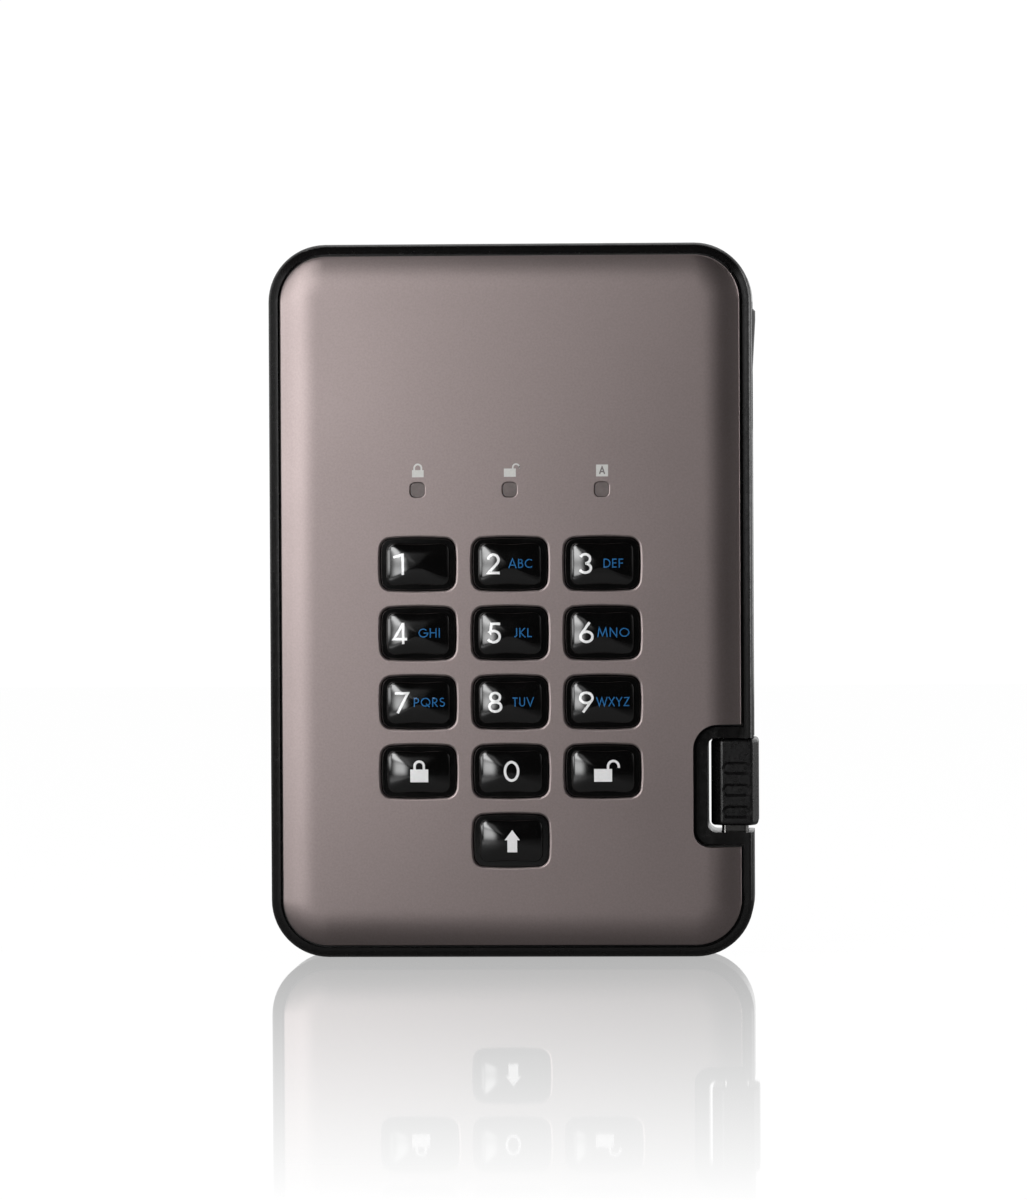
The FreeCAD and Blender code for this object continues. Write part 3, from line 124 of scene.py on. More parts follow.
class Finish:
    """A material on the Principled shader, with its own patterns on Object coordinates."""

    smoothest = 0.02

    def __init__(self, name, colour, rough, metal=0.0, **sockets):
        self.material = bpy.data.materials.new(name)
        self.material.use_nodes = True
        self.tree = self.material.node_tree
        self.shader = self.tree.nodes["Principled BSDF"]
        self.place = self.tree.nodes.new("ShaderNodeTexCoord").outputs["Object"]
        self.colour = colour
        self.rough = rough
        self.shader.inputs["Base Color"].default_value = (*colour, 1.0)
        self.shader.inputs["Roughness"].default_value = rough
        self.shader.inputs["Metallic"].default_value = metal
        for socket, value in sockets.items():
            self.shader.inputs[socket.replace("_", " ").title()].default_value = value

    def noise(self, grains_per_mm, detail=3.0, stretch=(1.0, 1.0, 1.0)):
        """A cloudy pattern with so many grains to a millimetre."""
        turn = self.tree.nodes.new("ShaderNodeMapping")
        turn.inputs["Scale"].default_value = [grains_per_mm / MM * s for s in stretch]
        wire(self.tree, self.place, turn.inputs["Vector"])
        node = self.tree.nodes.new("ShaderNodeTexNoise")
        node.inputs["Scale"].default_value = 1.0
        node.inputs["Detail"].default_value = detail
        wire(self.tree, turn.outputs["Vector"], node.inputs["Vector"])
        return node.outputs["Fac"]

    def ramp(self, factor, low, high, start=0.3, end=0.7):
        """A pattern stretched so that it runs from one level to another."""
        node = self.tree.nodes.new("ShaderNodeMapRange")
        node.inputs["From Min"].default_value = start
        node.inputs["From Max"].default_value = end
        node.inputs["To Min"].default_value = low
        node.inputs["To Max"].default_value = high
        wire(self.tree, factor, node.inputs["Value"])
        return node.outputs["Result"]

    def mottle(self, spread, grains_per_mm, detail=3.0, stretch=(1.0, 1.0, 1.0)):
        """Colour that wanders a little lighter and darker."""
        mix = self.tree.nodes.new("ShaderNodeMix")
        mix.data_type = "RGBA"
        share = self.ramp(self.noise(grains_per_mm, detail, stretch), 0.0, 1.0)
        wire(self.tree, share, mix.inputs["Factor"])
        mix.inputs["A"].default_value = (*[c * (1.0 - spread) for c in self.colour], 1.0)
        mix.inputs["B"].default_value = (*[c * (1.0 + spread) for c in self.colour], 1.0)
        wire(self.tree, mix.outputs["Result"], self.shader.inputs["Base Color"])
        return self

    def worn(self, spread, grains_per_mm, detail=3.0, stretch=(1.0, 1.0, 1.0)):
        """Roughness that wanders round its own level."""
        level = self.ramp(self.noise(grains_per_mm, detail, stretch),
                          max(self.rough - spread, self.smoothest), self.rough + spread)
        wire(self.tree, level, self.shader.inputs["Roughness"])
        return self

    def grain(self, grains_per_mm, height_mm, strength=0.3, detail=2.0, stretch=(1.0, 1.0, 1.0)):
        """A fine relief."""
        bump = self.tree.nodes.new("ShaderNodeBump")
        bump.inputs["Strength"].default_value = strength
        bump.inputs["Distance"].default_value = height_mm * MM
        wire(self.tree, self.noise(grains_per_mm, detail, stretch), bump.inputs["Height"])
        wire(self.tree, bump.outputs["Normal"], self.shader.inputs["Normal"])
        return self


cover_satin = Finish("cover_satin", (0.282, 0.235, 0.230), 0.42, 1.0)
cover_satin.mottle(0.05, 3.0, 2.0).worn(0.02, 0.05, 1.0)
case_moulded = Finish("case_moulded", (0.0052, 0.0048, 0.0048), 0.23)
case_moulded.mottle(0.15, 0.4).worn(0.05, 1.2).grain(6.0, 0.012, 0.22)
key_resin = Finish("key_resin", (0.0016, 0.0015, 0.0015), 0.10, coat_weight=0.4, coat_roughness=0.06)
key_resin.mottle(0.2, 0.25).worn(0.02, 0.5)
print_white = Finish("print_white", (0.80, 0.80, 0.80), 0.16, coat_weight=0.5, coat_roughness=0.05)
print_white.mottle(0.03, 3.0).worn(0.03, 4.0)
print_blue = Finish("print_blue", (0.022, 0.13, 0.32), 0.16, coat_weight=0.5, coat_roughness=0.05)
print_blue.mottle(0.06, 3.0).worn(0.03, 4.0)
print_grey = Finish("print_grey", (0.55, 0.55, 0.53), 0.45)
print_grey.mottle(0.04, 4.0).worn(0.05, 4.0)
print_gap = Finish("print_gap", (0.16, 0.14, 0.138), 0.45)
print_gap.mottle(0.05, 4.0).worn(0.05, 4.0)
pipe_smoke = Finish("pipe_smoke", (0.15, 0.127, 0.123), 0.22, coat_weight=0.3, coat_roughness=0.1)
pipe_smoke.mottle(0.12, 0.9).worn(0.04, 1.5)
grip_rubber = Finish("grip_rubber", (0.005, 0.0048, 0.005), 0.30)
grip_rubber.mottle(0.18, 0.5).worn(0.06, 1.5).grain(5.0, 0.015, 0.25)
jacket_rubber = Finish("jacket_rubber", (0.006, 0.0057, 0.006), 0.42)
jacket_rubber.mottle(0.18, 0.4, stretch=(1.0, 1.0, 0.15)).worn(0.05, 1.0, stretch=(1.0, 1.0, 0.1))
jacket_rubber.grain(3.0, 0.012, 0.2)
shell_plate = Finish("shell_plate", (0.27, 0.266, 0.26), 0.16, 1.0)
shell_plate.mottle(0.04, 0.8).worn(0.06, 2.0, stretch=(4.0, 4.0, 0.4))
shell_plate.grain(4.0, 0.002, 0.1, stretch=(3.0, 3.0, 0.3))
mat_silicone = Finish("mat_silicone", (0.12, 0.12, 0.13), 0.5).mottle(0.1, 0.3).worn(0.08, 0.8)
foot_rubber = Finish("foot_rubber", (0.02, 0.0195, 0.0195), 0.62)
foot_rubber.mottle(0.2, 0.6).worn(0.08, 1.0).grain(4.0, 0.02, 0.35)

INNER_FINISHES = {
    "cover_seal": Finish("seal_rubber", (0.02, 0.02, 0.02), 0.6).mottle(0.15, 0.6).grain(3.0, 0.02, 0.3),
    "board": Finish("board_mask", (0.012, 0.085, 0.035), 0.34).mottle(0.2, 0.5).worn(0.06, 1.0).grain(
        2.0, 0.01, 0.2),
    "chip": Finish("chip_epoxy", (0.014, 0.014, 0.015), 0.5).mottle(0.15, 0.8).grain(5.0, 0.01, 0.25),
    "connector": Finish("connector_nylon", (0.03, 0.03, 0.03), 0.48).mottle(0.12, 0.8).grain(
        3.0, 0.01, 0.2),
    "screw": Finish("screw_steel", (0.56, 0.56, 0.57), 0.3, 1.0).mottle(0.06, 1.0).worn(0.08, 3.0),
    "lamp": Finish("lamp_resin", (0.72, 0.72, 0.62), 0.2).mottle(0.06, 1.5).worn(0.05, 2.0),
    "drive": Finish("drive_aluminium", (0.55, 0.56, 0.58), 0.36, 1.0).mottle(0.04, 0.5).worn(
        0.08, 2.0, stretch=(1.0, 1.0, 0.05)),
    "pad": Finish("pad_foam", (0.09, 0.09, 0.1), 0.85).mottle(0.25, 2.0).grain(2.0, 0.1, 0.5),
    "ribbon": Finish("ribbon_laminate", (0.68, 0.68, 0.66), 0.38).mottle(
        0.08, 1.0, 2.0, stretch=(1.0, 0.05, 0.05)),
    "lead": Finish("lead_jacket", (0.4, 0.07, 0.05), 0.4).mottle(0.15, 0.5).worn(0.06, 1.0),
    "tongue": Finish("tongue_nylon", (0.02, 0.05, 0.26), 0.42).mottle(0.1, 0.8).grain(3.0, 0.01, 0.2),
    "contact": Finish("contact_gilt", (0.8, 0.58, 0.24), 0.26, 1.0).mottle(0.05, 1.0).worn(0.06, 3.0),
}
INNER_NODES = {
    "cover_seal": ["cover_seal"],
    "board": ["keypad_board", "drive_board", "bridge_board"],
    "chip": ["drive_controller", "drive_memory_1", "drive_memory_2", "drive_memory_3", "drive_memory_4",
             "crypto_controller", "secure_processor"],
    "connector": ["keypad_header", "bridge_header", "drive_plug", "drive_socket"],
    "screw": ["keypad_screws", "bridge_screws"],
    "lamp": ["lamp_locked", "lamp_unlocked", "lamp_admin"],
    "drive": ["drive_tray", "drive_cap"],
    "pad": ["drive_pad_1", "drive_pad_2", "drive_pad_3", "drive_pad_4",
            "drive_foam_left", "drive_foam_right"],
    "ribbon": ["flat_cable"],
    "lead": ["cable_leads"],
    "tongue": ["plug_tongue"],
    "contact": ["plug_contacts"],
}
for kind, names in INNER_NODES.items():
    for name in names:
        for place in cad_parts[name].material_slots:
            place.material = INNER_FINISHES[kind].material


# Making pieces

def new_piece(name, mesh, body, finish=None):
    """A piece of the scene that rides on a body, or on none."""
    piece = bpy.data.objects.new(name, mesh)
    bpy.context.scene.collection.objects.link(piece)
    if finish:
        mesh.materials.clear()
        mesh.materials.append(finish.material)
    if body:
        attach(piece, body)
    return piece


def flat_mesh(name, points, faces):
    """A mesh from points in millimetres."""
    mesh = bpy.data.meshes.new(name)
    mesh.from_pydata([Vector(p) * MM for p in points], [], faces)
    mesh.validate()
    return mesh


def evaluated_mesh(thing):
    """A plain mesh of what an object's modifiers make."""
    graph = bpy.context.evaluated_depsgraph_get()
    return bpy.data.meshes.new_from_object(thing.evaluated_get(graph))


# How the cover's rolled edge is shaded: a lean of the normal under ROLL_LEAN is eased towards the flat face
ROLL_LEAN, ROLL_EASE, LEAST_LEAN = 0.516, 0.75, 0.001
FLAT_FACE, FORWARD_FACE = 0.9999, 0.3


def keep_face_flat(mesh):
    """Let each corner on the flat front keep the front's normal, so that rims and rolls start gently."""
    flat = set()
    for face in mesh.polygons:
        if face.normal.dot(FRONT) > FLAT_FACE:
            flat.update(face.vertices)
    normals = [corner.vector.copy() for corner in mesh.corner_normals]
    for face in mesh.polygons:
        if face.normal.dot(FRONT) > FORWARD_FACE:
            for corner in face.loop_indices:
                if mesh.loops[corner].vertex_index in flat:
                    normals[corner] = FRONT
    for corner, normal in enumerate(normals):
        lean = normal - FRONT * normal.dot(FRONT)
        if LEAST_LEAN < lean.length < ROLL_LEAN and normal.dot(FRONT) > 0.0:
            lean *= (lean.length / ROLL_LEAN) ** ROLL_EASE
            normals[corner] = lean + FRONT * math.sqrt(1.0 - lean.length_squared)
    mesh.normals_split_custom_set(normals)


# The case's outline and rim in millimetres, and how far the rim's shading leans out at its two edges
CASE_SIDE, CASE_TOP, CASE_CORNER = 42.0, 124.0, 10.0
RIM_FACE, RIM_ROUND, RIM_WIDTH = -8.0, 0.5, 1.6
RIM_SLACK, ROUND_SLACK, SIDEWAYS = 0.01, 0.05, -0.05
LEAN_IN, LEAN_OUT = math.radians(36), math.radians(48)


def lean_rim(mesh):
    """Shade the narrow flat rim of the case as the soft bevel that it is in the photograph."""
    side, low, top = CASE_SIDE - CASE_CORNER, CASE_CORNER, CASE_TOP - CASE_CORNER
    inner, outer = CASE_CORNER - RIM_WIDTH, CASE_CORNER - RIM_ROUND
    normals = [corner.vector.copy() for corner in mesh.corner_normals]
    for face in mesh.polygons:
        if face.normal.y > SIDEWAYS:
            continue
        for corner in face.loop_indices:
            x, y, z = mesh.vertices[mesh.loops[corner].vertex_index].co / MM
            out = Vector((x - min(max(x, -side), side), 0.0, z - min(max(z, low), top)))
            if y > RIM_FACE + RIM_ROUND + ROUND_SLACK or out.length < inner - RIM_SLACK:
                continue
            if out.length < outer + RIM_SLACK:
                lean = LEAN_IN + (LEAN_OUT - LEAN_IN) * (out.length - inner) / (outer - inner)
            else:
                lean = LEAN_OUT + (math.pi / 2 - LEAN_OUT) * min((y - RIM_FACE) / RIM_ROUND, 1.0)
            normals[corner] = out.normalized() * math.sin(lean) + FRONT * math.cos(lean)
    mesh.normals_split_custom_set(normals)


FLAT_WEIGHT, COVER_SHARP = 80, 40.0


def smooth_shell(node, finish, angle=32.0, shade=None):
    """The solid's own shape with joined triangles, smooth round faces and, if given, its own shading."""
    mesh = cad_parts[node].data.copy()
    work = bmesh.new()
    work.from_mesh(mesh)
    bmesh.ops.remove_doubles(work, verts=work.verts, dist=WELD)
    bmesh.ops.dissolve_degenerate(work, edges=work.edges, dist=SLIVER)
    work.to_mesh(mesh)
    work.free()
    for name in ("custom_normal", "sharp_edge", "sharp_face"):
        if name in mesh.attributes:
            mesh.attributes.remove(mesh.attributes[name])
    mesh.polygons.foreach_set("use_smooth", [True] * len(mesh.polygons))
    mesh.set_sharp_from_angle(angle=math.radians(angle))
    thing = bpy.data.objects.new(node + "_work", mesh)
    bpy.context.scene.collection.objects.link(thing)
    weigh = thing.modifiers.new("flat_first", "WEIGHTED_NORMAL")
    weigh.keep_sharp = True
    weigh.weight = FLAT_WEIGHT
    done = evaluated_mesh(thing)
    bpy.data.objects.remove(thing)
    if shade:
        shade(done)
    piece = new_piece(node + "_shell", done, "housing", finish)
    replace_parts(piece, node)


smooth_shell("case_back", case_moulded, shade=lean_rim)
smooth_shell("face_cover", cover_satin, COVER_SHARP, keep_face_flat)
smooth_shell("plug_grip", grip_rubber)
smooth_shell("plug_shell", shell_plate)
smooth_shell("usb_cable", jacket_rubber)
smooth_shell("cable_boot", jacket_rubber)
for index in range(1, 5):
    smooth_shell("foot_%d" % index, foot_rubber)
for name in ("locked", "unlocked", "admin"):
    smooth_shell("light_pipe_" + name, pipe_smoke)


# Domed keys

DOME_ROWS, ROLL_ROWS, RING_ROWS, AROUND = 16, 8, 7, 96
DOME_SHARP = math.radians(35)

# The rows past the roll: from which step on each of these is reached
TO_RING, TO_RING_EDGE, TO_SKIRT, TO_LIP, TO_SEAT, TO_MIDDLE = 0.5, 1.5, 2.5, 3.5, 4.5, 5.5


def corner_of_key():
    """Where the round corner's centre lies, and between which bearings the corner runs."""
    w, h = KEY_WIDTH / 2, KEY_HEIGHT / 2
    down, back = LONG_BOW - h, SHORT_BOW - w
    apart = math.hypot(down, back)
    along = ((LONG_BOW - KEY_CORNER) ** 2 - (SHORT_BOW - KEY_CORNER) ** 2 + apart ** 2) / (2 * apart)
    across = math.sqrt((LONG_BOW - KEY_CORNER) ** 2 - along ** 2)
    x = -along * back / apart + across * down / apart
    z = -down + along * down / apart + across * back / apart
    tilt_long = math.atan2(x, z + down)
    tilt_short = math.atan2(z, x + back)
    first = math.atan2(SHORT_BOW * math.sin(tilt_short), SHORT_BOW * math.cos(tilt_short) - back)
    last = math.atan2(LONG_BOW * math.cos(tilt_long) - down, LONG_BOW * math.sin(tilt_long))
    return x, z, first, last


def domed_key_tree():
    """A key from its sizes: bowed outline, crowned top with diagonal folds, rolled edge, ring, skirt, lip."""
    tree = bpy.data.node_groups.new("domed_key", "GeometryNodeTree")
    names = ["Width", "Height", "Corner", "Corner X", "Corner Z", "Corner First", "Corner Last", "Long Bow",
             "Short Bow", "Crest", "Crown", "Crown Power", "Crown Bulge", "Roll", "Ring",
             "Ring Face", "Ring Edge", "Lip", "Lip Top", "Seat", "Place X", "Place Z"]
    for name in names:
        tree.interface.new_socket(name=name, in_out="INPUT", socket_type="NodeSocketFloat")
    tree.interface.new_socket(name="Finish", in_out="INPUT", socket_type="NodeSocketMaterial")
    tree.interface.new_socket(name="Geometry", in_out="OUTPUT", socket_type="NodeSocketGeometry")
    inlet = tree.nodes.new("NodeGroupInput")
    outlet = tree.nodes.new("NodeGroupOutput")
    size = {name: Field(tree, inlet.outputs[name]) for name in names}

    rows = DOME_ROWS + ROLL_ROWS + RING_ROWS
    grid = tree.nodes.new("GeometryNodeMeshGrid")
    grid.inputs["Size X"].default_value = 1.0
    grid.inputs["Size Y"].default_value = 1.0
    grid.inputs["Vertices X"].default_value = AROUND + 1
    grid.inputs["Vertices Y"].default_value = rows
    split = tree.nodes.new("ShaderNodeSeparateXYZ")
    wire(tree, tree.nodes.new("GeometryNodeInputPosition").outputs[0], split.inputs[0])
    bearing = (Field(tree, split.outputs[0]) + 0.5) * (2 * math.pi)
    row = ((Field(tree, split.outputs[1]) + 0.5) * (rows - 1.0)).join("ROUND")

    # outline, by the bearing
    cos, sin = bearing.join("COSINE"), bearing.join("SINE")
    a, b = cos.size(), sin.size()
    w, h = size["Width"] / 2.0, size["Height"] / 2.0

    def reach(towards, centre_sq, radius):
        """How far an arc lies from the middle, along the bearing."""
        return towards + (towards * towards - centre_sq + radius * radius).root()

    long_centre, short_centre = h - size["Long Bow"], w - size["Short Bow"]
    to_long = reach(b * long_centre, long_centre * long_centre, size["Long Bow"])
    to_short = reach(a * short_centre, short_centre * short_centre, size["Short Bow"])
    corner_sq = size["Corner X"] * size["Corner X"] + size["Corner Z"] * size["Corner Z"]
    to_corner = reach(a * size["Corner X"] + b * size["Corner Z"], corner_sq, size["Corner"])
    quarter = b.join("ARCTAN2", a)
    in_corner = quarter.past(size["Corner First"]) * size["Corner Last"].past(quarter)
    to_side = to_long.join("MINIMUM", to_short)
    edge = to_side + (to_corner - to_side) * in_corner

    # radius and depth, by the row
    inner = (row / float(DOME_ROWS)).held(0.0, 1.0)
    roll = ((row - float(DOME_ROWS)) / float(ROLL_ROWS)).held(0.0, 1.0) * (math.pi / 2)
    step = row - float(DOME_ROWS + ROLL_ROWS)
    radius = inner * (edge - size["Ring"] - size["Roll"]) + size["Roll"] * roll.join("SINE")
    radius = radius + (size["Ring"] - size["Ring Edge"]) * step.past(TO_RING)
    radius = radius + size["Ring Edge"] * step.past(TO_RING_EDGE)
    radius = (radius + size["Lip"] * step.past(TO_LIP)) * (step.past(TO_MIDDLE) * -1.0 + 1.0)
    x, z = radius * cos, radius * sin
    across, along = (x / w) * (x / w), (z / h) * (z / h)
    side = (across + along * size["Crown Bulge"]) ** size["Crown Power"]
    end = (along * (size["Crown Bulge"] + 1.0)) ** size["Crown Power"]
    crown = (side + end) ** size["Crown Power"].join("POWER", -1.0)
    dome = size["Crest"] + size["Crown"] * crown
    top = dome + (size["Ring Face"] - dome) * (roll.join("COSINE") * -1.0 + 1.0)
    ring = size["Ring Face"] + size["Ring Edge"] * step.past(TO_RING_EDGE)
    skirt = size["Lip Top"] + (size["Seat"] - size["Lip Top"]) * step.past(TO_SEAT)
    y = top + (ring - top) * step.past(TO_RING)
    y = y + (skirt - y) * step.past(TO_SKIRT)

    join = tree.nodes.new("ShaderNodeCombineXYZ")
    for place, value in zip(join.inputs, (x + size["Place X"], y, z + size["Place Z"])):
        wire(tree, value.socket, place)
    scale = tree.nodes.new("ShaderNodeVectorMath")
    scale.operation = "SCALE"
    scale.inputs["Scale"].default_value = MM
    wire(tree, join.outputs[0], scale.inputs[0])
    shape = tree.nodes.new("GeometryNodeSetPosition")
    wire(tree, grid.outputs["Mesh"], shape.inputs["Geometry"])
    wire(tree, scale.outputs[0], shape.inputs["Position"])
    weld = tree.nodes.new("GeometryNodeMergeByDistance")
    weld.inputs["Distance"].default_value = WELD
    wire(tree, shape.outputs[0], weld.inputs["Geometry"])
    smooth = tree.nodes.new("GeometryNodeSetShadeSmooth")
    wire(tree, weld.outputs[0], smooth.inputs["Geometry"])
    real = tree.nodes.new("GeometryNodeRealizeInstances")
    wire(tree, smooth.outputs[0], real.inputs["Geometry"])
    paint = tree.nodes.new("GeometryNodeSetMaterial")
    wire(tree, real.outputs[0], paint.inputs["Geometry"])
    wire(tree, inlet.outputs["Finish"], paint.inputs["Material"])
    wire(tree, paint.outputs[0], outlet.inputs["Geometry"])
    return tree


dome_tree = domed_key_tree()
dome_sockets = {s.name: s.identifier for s in dome_tree.interface.items_tree if s.in_out == "INPUT"}
corner_x, corner_z, corner_first, corner_last = corner_of_key()
DOME_SIZES = {
    "Width": KEY_WIDTH, "Height": KEY_HEIGHT, "Long Bow": LONG_BOW, "Short Bow": SHORT_BOW,
    "Corner": KEY_CORNER, "Corner X": corner_x, "Corner Z": corner_z,
    "Corner First": corner_first, "Corner Last": corner_last,
    "Crest": KEY_CREST, "Crown": KEY_CROWN, "Crown Power": CROWN_POWER, "Crown Bulge": CROWN_BULGE,
    "Roll": KEY_ROLL, "Ring": KEY_RING, "Ring Face": RING_FACE, "Ring Edge": RING_EDGE,
    "Lip": KEY_LIP, "Lip Top": LIP_TOP, "Seat": KEY_SEAT,
}


def key_place(name):
    """How far a key's middle lies to the side and up."""
    column, row = KEY_PLACES[name]
    return column * KEY_PITCH_X, FIRST_ROW + row * KEY_PITCH_Z


def domed_key(name):
    """One key on its own body, made by the tree and turned into a plain mesh."""
    x, z = key_place(name)
    blank = bpy.data.objects.new(name + "_blank", bpy.data.meshes.new(name + "_blank"))
    bpy.context.scene.collection.objects.link(blank)
    maker = blank.modifiers.new("domed_key", "NODES")
    maker.node_group = dome_tree
    for size_name, value in list(DOME_SIZES.items()) + [("Place X", x), ("Place Z", z)]:
        maker[dome_sockets[size_name]] = value
    maker[dome_sockets["Finish"]] = key_resin.material
    mesh = evaluated_mesh(blank)
    bpy.data.objects.remove(blank)
    work = bmesh.new()
    work.from_mesh(mesh)
    bmesh.ops.recalc_face_normals(work, faces=work.faces)
    work.to_mesh(mesh)
    work.free()
    mesh.set_sharp_from_angle(angle=DOME_SHARP)
    piece = new_piece(name + "_dome", mesh, name)
    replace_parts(piece, name)


for name in KEY_PLACES:
    domed_key(name)


# Key mat: a sheet on the board, and under each key a web on no body and a plunger that follows the key

SHEET_TOP, WEB_CEILING, PLUNGER_RADIUS, MAT_SLACK = -6.9, -7.7, 2.5, 0.01
WEB_REACH = (KEY_WIDTH / 2 + KEY_LIP + MAT_SLACK, KEY_HEIGHT / 2 + KEY_LIP + MAT_SLACK)
PLUNGER_REACH = PLUNGER_RADIUS + MAT_SLACK
MAT_SHARP = math.radians(25)


def mat_share(face):
    """Which part of the mat a face belongs to: a key's plunger, a key's web or the sheet."""
    points = [corner.co / MM for corner in face.verts]
    for name in KEY_PLACES:
        x, z = key_place(name)
        if all(abs(p.x - x) < WEB_REACH[0] and abs(p.z - z) < WEB_REACH[1] for p in points):
            if all(math.hypot(p.x - x, p.z - z) < PLUNGER_REACH for p in points):
                return name + "_plunger"
            flat = max(p.y for p in points) - min(p.y for p in points) < MAT_SLACK
            if not flat or points[0].y < SHEET_TOP - MAT_SLACK:
                return name + "_web"
    return "mat_sheet"


def open_edges(work, x, z, reach):
    """The edges of a part that lost the faces of its neighbour, round one key."""
    return [edge for edge in work.edges if edge.is_boundary and all(
        abs(end.co.x / MM - x) < reach[0] and abs(end.co.z / MM - z) < reach[1] for end in edge.verts)]


def mat_part(part, body):
    """One part of the mat, closed again where it was parted from the others."""
    mesh = bpy.data.meshes.new(part)
    work = bmesh.new()
    work.from_mesh(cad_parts["key_mat"].data)
    bmesh.ops.remove_doubles(work, verts=work.verts, dist=WELD)
    shares = {face: mat_share(face) for face in work.faces}
    bmesh.ops.delete(work, geom=[face for face, share in shares.items() if share != part], context="FACES")
    for name in KEY_PLACES:
        x, z = key_place(name)
        ring = open_edges(work, x, z, (PLUNGER_REACH, PLUNGER_REACH))
        if ring:
            bmesh.ops.edgeloop_fill(work, edges=ring)
        foot = open_edges(work, x, z, WEB_REACH)
        if foot:
            bmesh.ops.bridge_loops(work, edges=foot)
    bmesh.ops.recalc_face_normals(work, faces=work.faces)
    work.to_mesh(mesh)
    work.free()
    mesh.polygons.foreach_set("use_smooth", [True] * len(mesh.polygons))
    mesh.set_sharp_from_angle(angle=MAT_SHARP)
    return new_piece(part, mesh, body, mat_silicone)


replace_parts(mat_part("mat_sheet", "housing"), "key_mat")
for name in KEY_PLACES:
    x, z = key_place(name)
    web = mat_part(name + "_web", None)
    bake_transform(web)
    mat_part(name + "_plunger", name)


# Printed signs, drawn as strokes in a box one unit high

def bow(x, y, rx, ry, start, end, count=20):
    """Points on part of an oval, from one bearing to another in degrees."""
    steps = [math.radians(start + (end - start) * i / count) for i in range(count + 1)]
    return [(x + rx * math.cos(t), y + ry * math.sin(t)) for t in steps]


